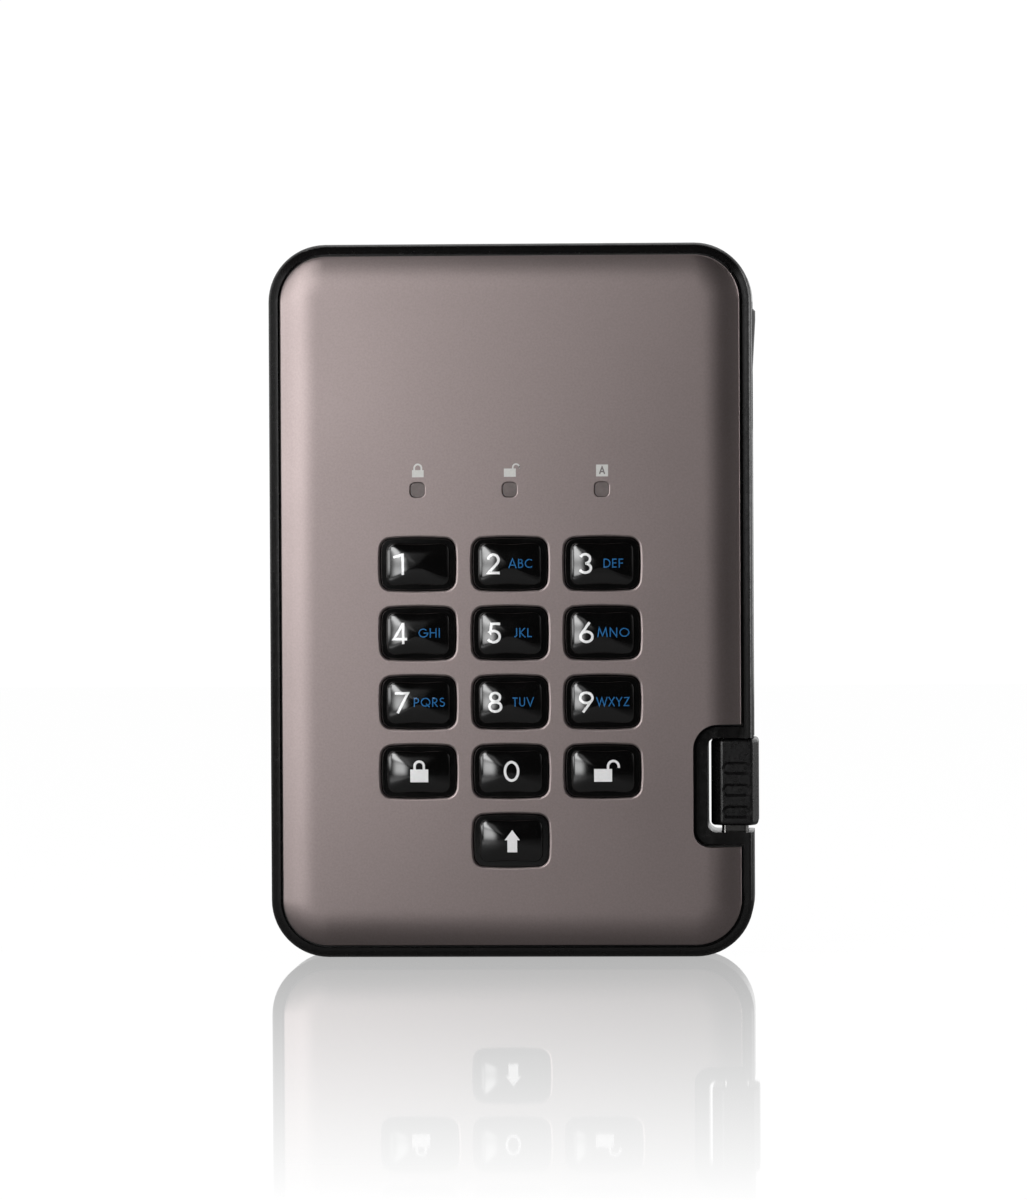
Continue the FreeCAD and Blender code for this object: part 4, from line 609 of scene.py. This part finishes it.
STROKES = {
    "0": [bow(0.33, 0.5, 0.265, 0.43, 90, 450, 40)],
    "1": [[(0.10, 0.82), (0.36, 0.95)], [(0.36, 0.0), (0.36, 1.0)]],
    "2": [bow(0.31, 0.68, 0.25, 0.25, 172, -38) + [(0.07, 0.07), (0.62, 0.07)]],
    "3": [bow(0.27, 0.715, 0.215, 0.215, 155, -90), bow(0.27, 0.285, 0.25, 0.215, 90, -158)],
    "4": [[(0.68, 0.23), (0.08, 0.23), (0.50, 0.95)], [(0.50, 1.0), (0.50, 0.0)]],
    "5": [[(0.60, 0.93), (0.22, 0.93), (0.15, 0.52)] + bow(0.30, 0.335, 0.28, 0.265, 128, -150)],
    "6": [bow(0.33, 0.31, 0.26, 0.24, 0, 360, 36), [(0.10, 0.42), (0.47, 0.99)]],
    "7": [[(0.04, 0.93), (0.60, 0.93), (0.16, 0.0)]],
    "8": [bow(0.32, 0.735, 0.20, 0.20, 0, 360, 32), bow(0.32, 0.285, 0.25, 0.22, 0, 360, 36)],
    "9": [bow(0.33, 0.69, 0.26, 0.24, 0, 360, 36), [(0.56, 0.58), (0.19, 0.01)]],
    "A": [[(0.0, 0.0), (0.40, 1.0), (0.80, 0.0)], [(0.14, 0.33), (0.66, 0.33)]],
    "B": [[(0.08, 0.0), (0.08, 1.0)],
          [(0.08, 0.92), (0.28, 0.92)] + bow(0.28, 0.735, 0.18, 0.185, 90, -90) + [(0.08, 0.55)],
          [(0.08, 0.54), (0.30, 0.54)] + bow(0.30, 0.31, 0.23, 0.23, 90, -90) + [(0.08, 0.08)]],
    "C": [bow(0.50, 0.5, 0.43, 0.42, 48, 312, 28)],
    "D": [[(0.08, 0.92), (0.08, 0.08), (0.28, 0.08)]
          + bow(0.28, 0.5, 0.42, 0.42, -90, 90, 24) + [(0.04, 0.92)]],
    "E": [[(0.50, 0.92), (0.08, 0.92), (0.08, 0.08), (0.50, 0.08)], [(0.08, 0.52), (0.48, 0.52)]],
    "F": [[(0.50, 0.92), (0.08, 0.92), (0.08, 0.0)], [(0.08, 0.50), (0.46, 0.50)]],
    "G": [bow(0.50, 0.5, 0.43, 0.42, 45, 360, 30) + [(0.52, 0.5)]],
    "H": [[(0.08, 0.0), (0.08, 1.0)], [(0.66, 0.0), (0.66, 1.0)], [(0.08, 0.53), (0.66, 0.53)]],
    "I": [[(0.08, 0.0), (0.08, 1.0)]],
    "J": [[(0.30, 1.0), (0.30, 0.26)] + bow(0.12, 0.26, 0.18, 0.18, 0, -110, 10)],
    "K": [[(0.08, 0.0), (0.08, 1.0)], [(0.58, 1.0), (0.12, 0.52), (0.62, 0.0)]],
    "L": [[(0.08, 1.0), (0.08, 0.08), (0.48, 0.08)]],
    "M": [[(0.04, 0.0), (0.18, 1.0), (0.50, 0.14), (0.82, 1.0), (0.96, 0.0)]],
    "N": [[(0.08, 0.0), (0.08, 0.98), (0.70, 0.02), (0.70, 1.0)]],
    "O": [bow(0.50, 0.5, 0.43, 0.42, 0, 360, 36)],
    "P": [[(0.08, 0.0), (0.08, 0.92), (0.26, 0.92)]
          + bow(0.26, 0.68, 0.24, 0.24, 90, -90) + [(0.08, 0.44)]],
    "Q": [bow(0.50, 0.5, 0.43, 0.42, 0, 360, 36), [(0.56, 0.34), (0.90, -0.02)]],
    "R": [[(0.08, 0.0), (0.08, 0.92), (0.26, 0.92)] + bow(0.26, 0.69, 0.23, 0.23, 90, -90) + [(0.08, 0.46)],
          [(0.24, 0.46), (0.56, 0.0)]],
    "S": [bow(0.28, 0.73, 0.19, 0.19, 35, 250, 16) + bow(0.28, 0.29, 0.23, 0.22, 78, -150, 18)],
    "T": [[(0.26, 0.0), (0.26, 0.95)], [(0.0, 0.92), (0.52, 0.92)]],
    "U": [[(0.08, 1.0), (0.08, 0.34)] + bow(0.33, 0.34, 0.25, 0.27, 180, 360, 16) + [(0.58, 1.0)]],
    "V": [[(0.0, 1.0), (0.36, 0.04), (0.72, 1.0)]],
    "W": [[(0.0, 1.0), (0.29, 0.04), (0.56, 0.92), (0.83, 0.04), (1.12, 1.0)]],
    "X": [[(0.0, 0.0), (0.60, 1.0)], [(0.0, 1.0), (0.60, 0.0)]],
    "Y": [[(0.0, 1.0), (0.32, 0.46), (0.64, 1.0)], [(0.32, 0.0), (0.32, 0.48)]],
    "Z": [[(0.02, 0.92), (0.54, 0.92), (0.04, 0.08), (0.58, 0.08)]],
}
LETTER_WIDTHS = {
    "A": 0.80, "B": 0.56, "C": 0.86, "D": 0.74, "E": 0.52, "F": 0.50, "G": 0.94, "H": 0.74, "I": 0.16,
    "J": 0.38, "K": 0.62, "L": 0.50, "M": 1.0, "N": 0.78, "O": 0.98, "P": 0.54, "Q": 0.98, "R": 0.58,
    "S": 0.54, "T": 0.52, "U": 0.66, "V": 0.72, "W": 1.12, "X": 0.60, "Y": 0.64, "Z": 0.60,
}
DIGIT_WIDTH, LETTER_GAP = 0.66, 0.17

# The longest part of a stroke in millimetres, and the least share that a corner's mitre is drawn for
STROKE_STEP, LEAST_MITRE = 0.35, 0.45


class Print:
    """Flat ink laid on a surface whose depth is known at every point."""

    def __init__(self, depth_at, lift=0.012):
        self.depth_at = depth_at
        self.lift = lift
        self.points = []
        self.faces = []

    def point(self, x, z):
        """The number of a new point, just off the surface."""
        self.points.append((x, self.depth_at(x, z) - self.lift, z))
        return len(self.points) - 1

    def stroke(self, path, half):
        """A ribbon of even width along a path, with mitred corners."""
        fine = [path[0]]
        for a, b in zip(path, path[1:]):
            parts = max(1, int(math.ceil(math.dist(a, b) / STROKE_STEP)))
            fine += [(a[0] + (b[0] - a[0]) * i / parts, a[1] + (b[1] - a[1]) * i / parts)
                     for i in range(1, parts + 1)]
        closed = math.dist(fine[0], fine[-1]) < 1e-6
        if closed:
            fine = fine[:-1]
        count = len(fine)
        sides = []
        for i in range(count):
            before = fine[i - 1] if closed or i > 0 else None
            after = fine[(i + 1) % count] if closed or i < count - 1 else None
            ways = []
            if before:
                ways.append((Vector(fine[i]) - Vector(before)).normalized())
            if after:
                ways.append((Vector(after) - Vector(fine[i])).normalized())
            along = sum(ways, Vector((0.0, 0.0))).normalized()
            reach = half / max(along.dot(ways[0]), LEAST_MITRE)
            x, z = fine[i]
            sides.append((self.point(x - along.y * reach, z + along.x * reach),
                          self.point(x + along.y * reach, z - along.x * reach)))
        for i in range(count if closed else count - 1):
            a, b = sides[i], sides[(i + 1) % count]
            self.faces.append((a[0], a[1], b[1], b[0]))

    def filled(self, rows, columns=8):
        """A solid patch between a left and a right edge given at several heights."""
        lines = [[self.point(left + (right - left) * i / columns, z) for i in range(columns + 1)]
                 for z, left, right in rows]
        for low, high in zip(lines, lines[1:]):
            for i in range(columns):
                self.faces.append((low[i], low[i + 1], high[i + 1], high[i]))

    def patch(self, left, right, low, high, columns=8, lines=6):
        """A solid rectangle."""
        self.filled([(low + (high - low) * i / lines, left, right) for i in range(lines + 1)], columns)

    def word(self, text, left, right, low, high, width):
        """Signs set side by side and drawn to fill a box."""
        places, at = [], 0.0
        for letter in text:
            places.append(at)
            at += LETTER_WIDTHS.get(letter, DIGIT_WIDTH) + LETTER_GAP
        paths = [[(x + place, y) for x, y in path]
                 for letter, place in zip(text, places) for path in STROKES[letter]]
        first = min(x for path in paths for x, y in path)
        last = max(x for path in paths for x, y in path)
        half = width / 2
        for path in paths:
            self.stroke([(left + half + (x - first) / (last - first) * (right - left - width),
                          low + y * (high - low)) for x, y in path], half)

    def piece(self, name, body, slot, finish):
        """What was drawn, as one piece that faces forward."""
        mesh = flat_mesh(name, self.points, self.faces)
        work = bmesh.new()
        work.from_mesh(mesh)
        for face in work.faces:
            face.normal_update()
            if face.normal.y > 0:
                face.normal_flip()
            face.smooth = True
        work.to_mesh(mesh)
        work.free()
        new_piece(name, mesh, body, finish)


def dome_depth(key):
    """How deep the crowned top of a key lies at a point."""
    cx, cz = key_place(key)

    def depth(x, z):
        across, along = ((x - cx) * 2 / KEY_WIDTH) ** 2, ((z - cz) * 2 / KEY_HEIGHT) ** 2
        side = (across + along * CROWN_BULGE) ** CROWN_POWER
        end = (along * (CROWN_BULGE + 1.0)) ** CROWN_POWER
        return KEY_CREST + KEY_CROWN * (side + end) ** (1 / CROWN_POWER)

    return depth


# Signs on the keys, placed in millimetres from the key's middle
DIGIT_LOW, DIGIT_HIGH, DIGIT_STROKE = -1.80, 1.90, 0.44
LETTER_LOW, LETTER_HIGH, LETTER_STROKE = -0.72, 0.90, 0.19
# A digit with its left and right edge, then the letters with theirs
KEY_WORDS = {
    "key_1": ("1", -4.44, -2.37, "", 0, 0),
    "key_2": ("2", -3.97, -1.52, "ABC", -0.26, 3.95),
    "key_3": ("3", -4.05, -1.71, "DEF", 0.20, 3.76),
    "key_4": ("4", -4.41, -1.67, "GHI", 0.12, 3.80),
    "key_5": ("5", -4.05, -1.51, "JKL", 0.62, 3.87),
    "key_6": ("6", -4.03, -1.50, "MNO", -0.88, 4.68),
    "key_7": ("7", -4.29, -1.63, "PQRS", -0.77, 4.62),
    "key_8": ("8", -3.89, -1.39, "TUV", 0.30, 4.11),
    "key_9": ("9", -4.12, -1.55, "WXYZ", -1.15, 4.69),
    "key_0": ("0", -1.22, 1.50, "", 0, 0),
}
for key, (digit, left, right, letters, letters_left, letters_right) in KEY_WORDS.items():
    x, z = key_place(key)
    ink = Print(dome_depth(key))
    ink.word(digit, x + left, x + right, z + DIGIT_LOW, z + DIGIT_HIGH, DIGIT_STROKE)
    ink.piece(key + "_digit", key, "key_gloss", print_white)
    if letters:
        ink = Print(dome_depth(key))
        ink.word(letters, x + letters_left, x + letters_right,
                 z + LETTER_LOW, z + LETTER_HIGH, LETTER_STROKE)
        ink.piece(key + "_letters", key, "key_gloss", print_blue)


HOOP_SINK = 0.02


def padlock(ink, x, z, width, height, hoop_x, hoop_radius, hoop_top, hoop_foot, stroke):
    """A padlock sign: a filled body and a hoop, which is open where its right foot stops short."""
    ink.patch(x - width / 2, x + width / 2, z, z + height)
    middle = hoop_top - stroke / 2 - hoop_radius
    hoop = [(x + hoop_x - hoop_radius, z + height - HOOP_SINK)]
    hoop += bow(x + hoop_x, z + middle, hoop_radius, hoop_radius, 180, 0, 18)
    hoop += [(x + hoop_x + hoop_radius, z + hoop_foot)]
    ink.stroke(hoop, stroke / 2)


# The signs of the lock and unlock keys: how far aside they sit, and the hoop's place, radius and right foot
LOCK_WIDTH, LOCK_HEIGHT, LOCK_TOP, LOCK_STROKE = 3.12, 2.22, 3.80, 0.42
LOCK_SIGNS = {"key_lock": (0.10, 0.0, 0.80, 2.20), "key_unlock": (0.02, 1.78, 0.92, 2.40)}
for key, (aside, hoop_x, hoop_radius, hoop_foot) in LOCK_SIGNS.items():
    x, z = key_place(key)
    ink = Print(dome_depth(key))
    padlock(ink, x + aside, z + DIGIT_LOW, LOCK_WIDTH, LOCK_HEIGHT,
            hoop_x, hoop_radius, LOCK_TOP, hoop_foot, LOCK_STROKE)
    ink.piece(key + "_sign", key, "key_gloss", print_white)

# The shift key's arrow: a shaft up to its neck and a head that narrows in steps
ARROW_ASIDE, ARROW_FOOT, ARROW_NECK, ARROW_TIP = 0.2, -2.0, 0.1, 1.85
SHAFT_HALF, SHAFT_STEPS, HEAD_HALF, HEAD_STEPS = 0.85, 5, 1.34, 7
x, z = key_place("key_shift")
x += ARROW_ASIDE
ink = Print(dome_depth("key_shift"))
ink.patch(x - SHAFT_HALF, x + SHAFT_HALF, z + ARROW_FOOT, z + ARROW_NECK, lines=SHAFT_STEPS)
head = []
for i in range(HEAD_STEPS + 1):
    risen = i / HEAD_STEPS
    half = HEAD_HALF * (1 - risen)
    head.append((z + ARROW_NECK + (ARROW_TIP - ARROW_NECK) * risen, x - half, x + half))
ink.filled(head)
ink.piece("key_shift_sign", "key_shift", "key_gloss", print_white)


def cover_depth(x, z):
    """How deep the cover's flat face lies, which is the same at every point."""
    return COVER_FACE


# Signs over the three lamps: a closed lock, an open lock, and a letter left out of a filled square
SIGN_LOW = LAMP_ROW + 2.21
SQUARE_LEFT, SQUARE_RIGHT, SQUARE_HEIGHT = KEY_PITCH_X - 0.97, KEY_PITCH_X + 1.09, 2.05
LETTER_SIDE, LETTER_FOOT, LETTER_HEAD = 0.47, 0.40, 1.68
LAMP_LETTER_STROKE, LAMP_LETTER_LIFT = 0.24, 0.02
ink = Print(cover_depth)
padlock(ink, -KEY_PITCH_X + 0.08, SIGN_LOW, width=2.02, height=1.24,
        hoop_x=0.0, hoop_radius=0.62, hoop_top=2.38, hoop_foot=1.22, stroke=0.30)
padlock(ink, 0.06, SIGN_LOW, width=2.06, height=1.44,
        hoop_x=1.08, hoop_radius=0.56, hoop_top=2.34, hoop_foot=1.66, stroke=0.26)
ink.patch(SQUARE_LEFT, SQUARE_RIGHT, SIGN_LOW, SIGN_LOW + SQUARE_HEIGHT)
ink.piece("lamp_signs", "housing", "cover_metal", print_grey)
ink = Print(cover_depth, LAMP_LETTER_LIFT)
ink.word("A", SQUARE_LEFT + LETTER_SIDE, SQUARE_RIGHT - LETTER_SIDE,
         SIGN_LOW + LETTER_FOOT, SIGN_LOW + LETTER_HEAD, LAMP_LETTER_STROKE)
ink.piece("lamp_sign_letter", "housing", "cover_metal", print_gap)


# Floor, backdrop and studio

# Edges of the floor and the wall, in millimetres
STAGE_SIDE, STAGE_BACK, STAGE_TOP, FLOOR_FRONT = 1500, 1500, 1500, -440

# Levels of the paper, and of the room as metal and glass see it: dim in front and white behind
PAPER_GREY, EYE_GLOW, ROOM_GLOW, BEHIND_RISE = 0.88, 1.03, 0.02, 4.0

# In metres: where the floor's level in gloss ends in front, and where its mirror starts, ends and fades
CAMERA_DISTANCE = 1.2
GLOSS_END, GLOSS_FADE = 0.26, 0.08
MIRROR_FOOT, MIRROR_BEHIND, MIRROR_SIDE, MIRROR_SIDE_FADE = 0.009, 0.02, 0.11, 0.05
MIRROR_RATE, MIRROR_ROUGH = 1.967, 0.02


def stage_panel(name, corners):
    """One flat panel of the stage."""
    mesh = flat_mesh(name, corners, [(0, 1, 2, 3)])
    panel = bpy.data.objects.new(name, mesh)
    bpy.context.scene.collection.objects.link(panel)
    return panel


def camera_and_gloss_rays(tree):
    """Two fields that are 1 where the camera looks, and 1 where metal or glass does."""
    ray = tree.nodes.new("ShaderNodeLightPath")
    gloss_ray = Field(tree, ray.outputs["Is Glossy Ray"]) + Field(tree, ray.outputs["Is Transmission Ray"])
    return Field(tree, ray.outputs["Is Camera Ray"]), gloss_ray.held(0.0, 1.0)


def white_paper(name, seen_share, gloss_share, gloss_level, sheen=0.0, pool=None):
    """Pale paper: white to the eye, dimmer in gloss but for a pool of light, and a mirror near the foot."""
    material = bpy.data.materials.new(name)
    material.use_nodes = True
    tree = material.node_tree
    tree.nodes.remove(tree.nodes["Principled BSDF"])
    output = tree.nodes["Material Output"]
    paper = tree.nodes.new("ShaderNodeBsdfDiffuse")
    paper.inputs["Color"].default_value = (PAPER_GREY, PAPER_GREY, PAPER_GREY, 1.0)
    glow = tree.nodes.new("ShaderNodeEmission")
    eye, gloss_ray = camera_and_gloss_rays(tree)
    seen = eye * seen_share + gloss_ray * gloss_share
    place = tree.nodes.new("ShaderNodeSeparateXYZ")
    wire(tree, tree.nodes.new("ShaderNodeTexCoord").outputs["Object"], place.inputs[0])
    x, y = Field(tree, place.outputs["X"]), Field(tree, place.outputs["Y"])
    if pool:
        middle_x, middle_y, radius, brightest = pool
        aside, away = (x - middle_x) / radius, (y - middle_y) / radius
        near = ((y + GLOSS_END) / GLOSS_FADE).held(0.0, 1.0)
        gloss_level = (aside * aside + away * away + 1.0) ** -3.0 * brightest + near * gloss_level
    wire(tree, (eye * EYE_GLOW + gloss_ray * gloss_level).socket, glow.inputs["Strength"])
    body = tree.nodes.new("ShaderNodeMixShader")
    wire(tree, seen.held(0.0, 1.0).socket, body.inputs[0])
    wire(tree, paper.outputs[0], body.inputs[1])
    wire(tree, glow.outputs[0], body.inputs[2])
    last = body.outputs[0]
    if sheen:
        ahead = y * -1.0 - MIRROR_FOOT
        fade = (ahead / (ahead * -1.0 + CAMERA_DISTANCE) * -MIRROR_RATE + 1.0).held(0.0, 1.0)
        fade = fade * ahead.past(-MIRROR_BEHIND)
        fade = fade * ((x.size() - MIRROR_SIDE) / -MIRROR_SIDE_FADE).held(0.0, 1.0)
        gloss = tree.nodes.new("ShaderNodeBsdfGlossy")
        gloss.inputs["Color"].default_value = (1.0, 1.0, 1.0, 1.0)
        gloss.inputs["Roughness"].default_value = MIRROR_ROUGH
        mirror = tree.nodes.new("ShaderNodeMixShader")
        wire(tree, (fade * sheen * eye).socket, mirror.inputs[0])
        wire(tree, last, mirror.inputs[1])
        wire(tree, gloss.outputs[0], mirror.inputs[2])
        last = mirror.outputs[0]
    wire(tree, last, output.inputs["Surface"])
    return material


floor = stage_panel("floor", [(-STAGE_SIDE, FLOOR_FRONT, 0), (STAGE_SIDE, FLOOR_FRONT, 0),
                              (STAGE_SIDE, STAGE_BACK, 0), (-STAGE_SIDE, STAGE_BACK, 0)])
floor.data.materials.append(white_paper("floor_paper", seen_share=0.96, gloss_share=0.8, gloss_level=0.11,
                                        sheen=0.55, pool=(-0.13, -0.28, 0.08, 2.4)))
wall = stage_panel("wall", [(-STAGE_SIDE, STAGE_BACK, 0), (STAGE_SIDE, STAGE_BACK, 0),
                            (STAGE_SIDE, STAGE_BACK, STAGE_TOP), (-STAGE_SIDE, STAGE_BACK, STAGE_TOP)])
wall.data.materials.append(white_paper("wall_paper", seen_share=1.0, gloss_share=1.0, gloss_level=1.0))

scene = bpy.context.scene
world = bpy.data.worlds.new("studio")
scene.world = world
world.use_nodes = True
tree = world.node_tree
tree.nodes.clear()
sky = tree.nodes.new("ShaderNodeBackground")
way = tree.nodes.new("ShaderNodeSeparateXYZ")
wire(tree, tree.nodes.new("ShaderNodeTexCoord").outputs["Generated"], way.inputs[0])
behind = (Field(tree, way.outputs["Y"]) * BEHIND_RISE).held(0.0, 1.0)
eye, gloss_ray = camera_and_gloss_rays(tree)
white = (eye + gloss_ray * behind).held(0.0, 1.0)
level = white + (white * -1.0 + 1.0) * ROOM_GLOW
wire(tree, level.socket, sky.inputs["Strength"])
wire(tree, sky.outputs[0], tree.nodes.new("ShaderNodeOutputWorld").inputs["Surface"])


def softbox(name, place, aim, width, height, watts, feather=None):
    """A lamp panel, which may fade out over a share of its width and of its height at each edge."""
    lamp = bpy.data.lights.new(name, "AREA")
    lamp.shape = "RECTANGLE"
    lamp.size = width
    lamp.size_y = height
    lamp.energy = watts
    thing = bpy.data.objects.new(name, lamp)
    way = Vector(aim) - Vector(place)
    turn = way.to_track_quat("-Z", "Y").to_matrix().to_4x4()
    thing.matrix_world = Matrix.Translation(Vector(place)) @ turn
    thing.visible_camera = False
    scene.collection.objects.link(thing)
    if feather:
        lamp.use_nodes = True
        tree = lamp.node_tree
        spot = tree.nodes.new("ShaderNodeSeparateXYZ")
        wire(tree, tree.nodes.new("ShaderNodeNewGeometry").outputs["Parametric"], spot.inputs[0])
        level = 1.0
        for output, share in zip(spot.outputs, feather):
            at = Field(tree, output)
            rise = (at.join("MINIMUM", at * -1.0 + 1.0) / share).held(0.0, 1.0)
            level = rise * rise * (rise * -2.0 + 3.0) * level
        wire(tree, level.socket, tree.nodes["Emission"].inputs["Strength"])


def studio_panels(panels, distance=0.5, middle=0.062):
    """Softboxes round the object, each between two bearings to the left and two heights, in degrees."""
    for name, first, last, low, high, brightness, feather in panels:
        side, up = math.radians((first + last) / 2), math.radians((low + high) / 2)
        way = Vector((-math.sin(side) * math.cos(up), -math.cos(side) * math.cos(up), math.sin(up)))
        width = distance * math.cos(up) * math.radians(last - first)
        height = distance * math.radians(high - low)
        aim = Vector((0.0, 0.0, middle))
        watts = brightness * math.pi * width * height
        softbox(name, aim + way * distance, aim, width, height, watts, feather)


# Name, first and last bearing, low and high edge, brightness, shares of width and height that fade out
studio_panels([
    ("key_light", 12, 25, -3, 27, 10.2, (0.35, 0.25)),
    ("key_light_foot", 12, 25, -9, 1, 7.7, (0.35, 0.4)),
    ("key_light_edge", 5, 13, -2, 24, 0.9, (0.3, 0.25)),
    ("wing_light_low", 24, 44, -6, 14, 5.0, (0.2, 0.25)),
    ("wing_light_high", 24, 44, 10, 40, 4.2, (0.2, 0.25)),
    ("side_light_low", 42, 78, -6, 14, 5.0, (0.15, 0.25)),
    ("side_light_high", 42, 78, 10, 40, 1.5, (0.15, 0.25)),
    ("far_light", 76, 104, -4, 40, 0.4, (0.15, 0.2)),
    ("upper_light", 18, 48, 30, 56, 3.5, (0.2, 0.25)),
    ("right_light", -60, -30, -6, 30, 0.2, (0.2, 0.2)),
    ("right_rim_light", -125, -70, -8, 42, 1.0, (0.2, 0.2)),
])
softbox("right_strip", place=(0.60, 0.05, 0.16), aim=(0.0, 0.0, 0.06), width=0.10, height=0.60, watts=0.8)
softbox("top_lamp", place=(0.0, 0.40, 0.90), aim=(0.0, 0.40, 0.0), width=0.90, height=0.60, watts=1.6)


# Camera at the photograph's angle

PHOTO_HEIGHT, SENSOR_HEIGHT, NEAREST = 1200.0, 24.0, 0.01


def camera_at(azimuth, elevation, roll, distance, aim, focal_px):
    """A camera at an angle in degrees, with its focal length in the photograph's pixels."""
    az, el, turn = [math.radians(v) for v in (azimuth, elevation, roll)]
    back = Vector((math.sin(az) * math.cos(el), -math.cos(az) * math.cos(el), math.sin(el)))
    right = Vector((math.cos(az), math.sin(az), 0.0))
    up = back.cross(right)
    side = right * math.cos(turn) + up * math.sin(turn)
    top = up * math.cos(turn) - right * math.sin(turn)
    spot = Vector(aim) + back * distance
    lens = bpy.data.cameras.new("camera")
    lens.sensor_fit = "VERTICAL"
    lens.sensor_height = SENSOR_HEIGHT
    lens.lens = focal_px / PHOTO_HEIGHT * SENSOR_HEIGHT
    lens.clip_start = NEAREST
    thing = bpy.data.objects.new("camera", lens)
    thing.matrix_world = Matrix([(side[i], top[i], back[i], spot[i]) for i in range(3)] + [(0, 0, 0, 1)])
    scene.collection.objects.link(thing)
    scene.camera = thing


camera_at(azimuth=2.824, elevation=1.081, roll=-0.287, distance=CAMERA_DISTANCE,
          aim=(0.0000665, 0.0, 0.0619522), focal_px=6859.35)
scene.view_settings.view_transform = "Standard"
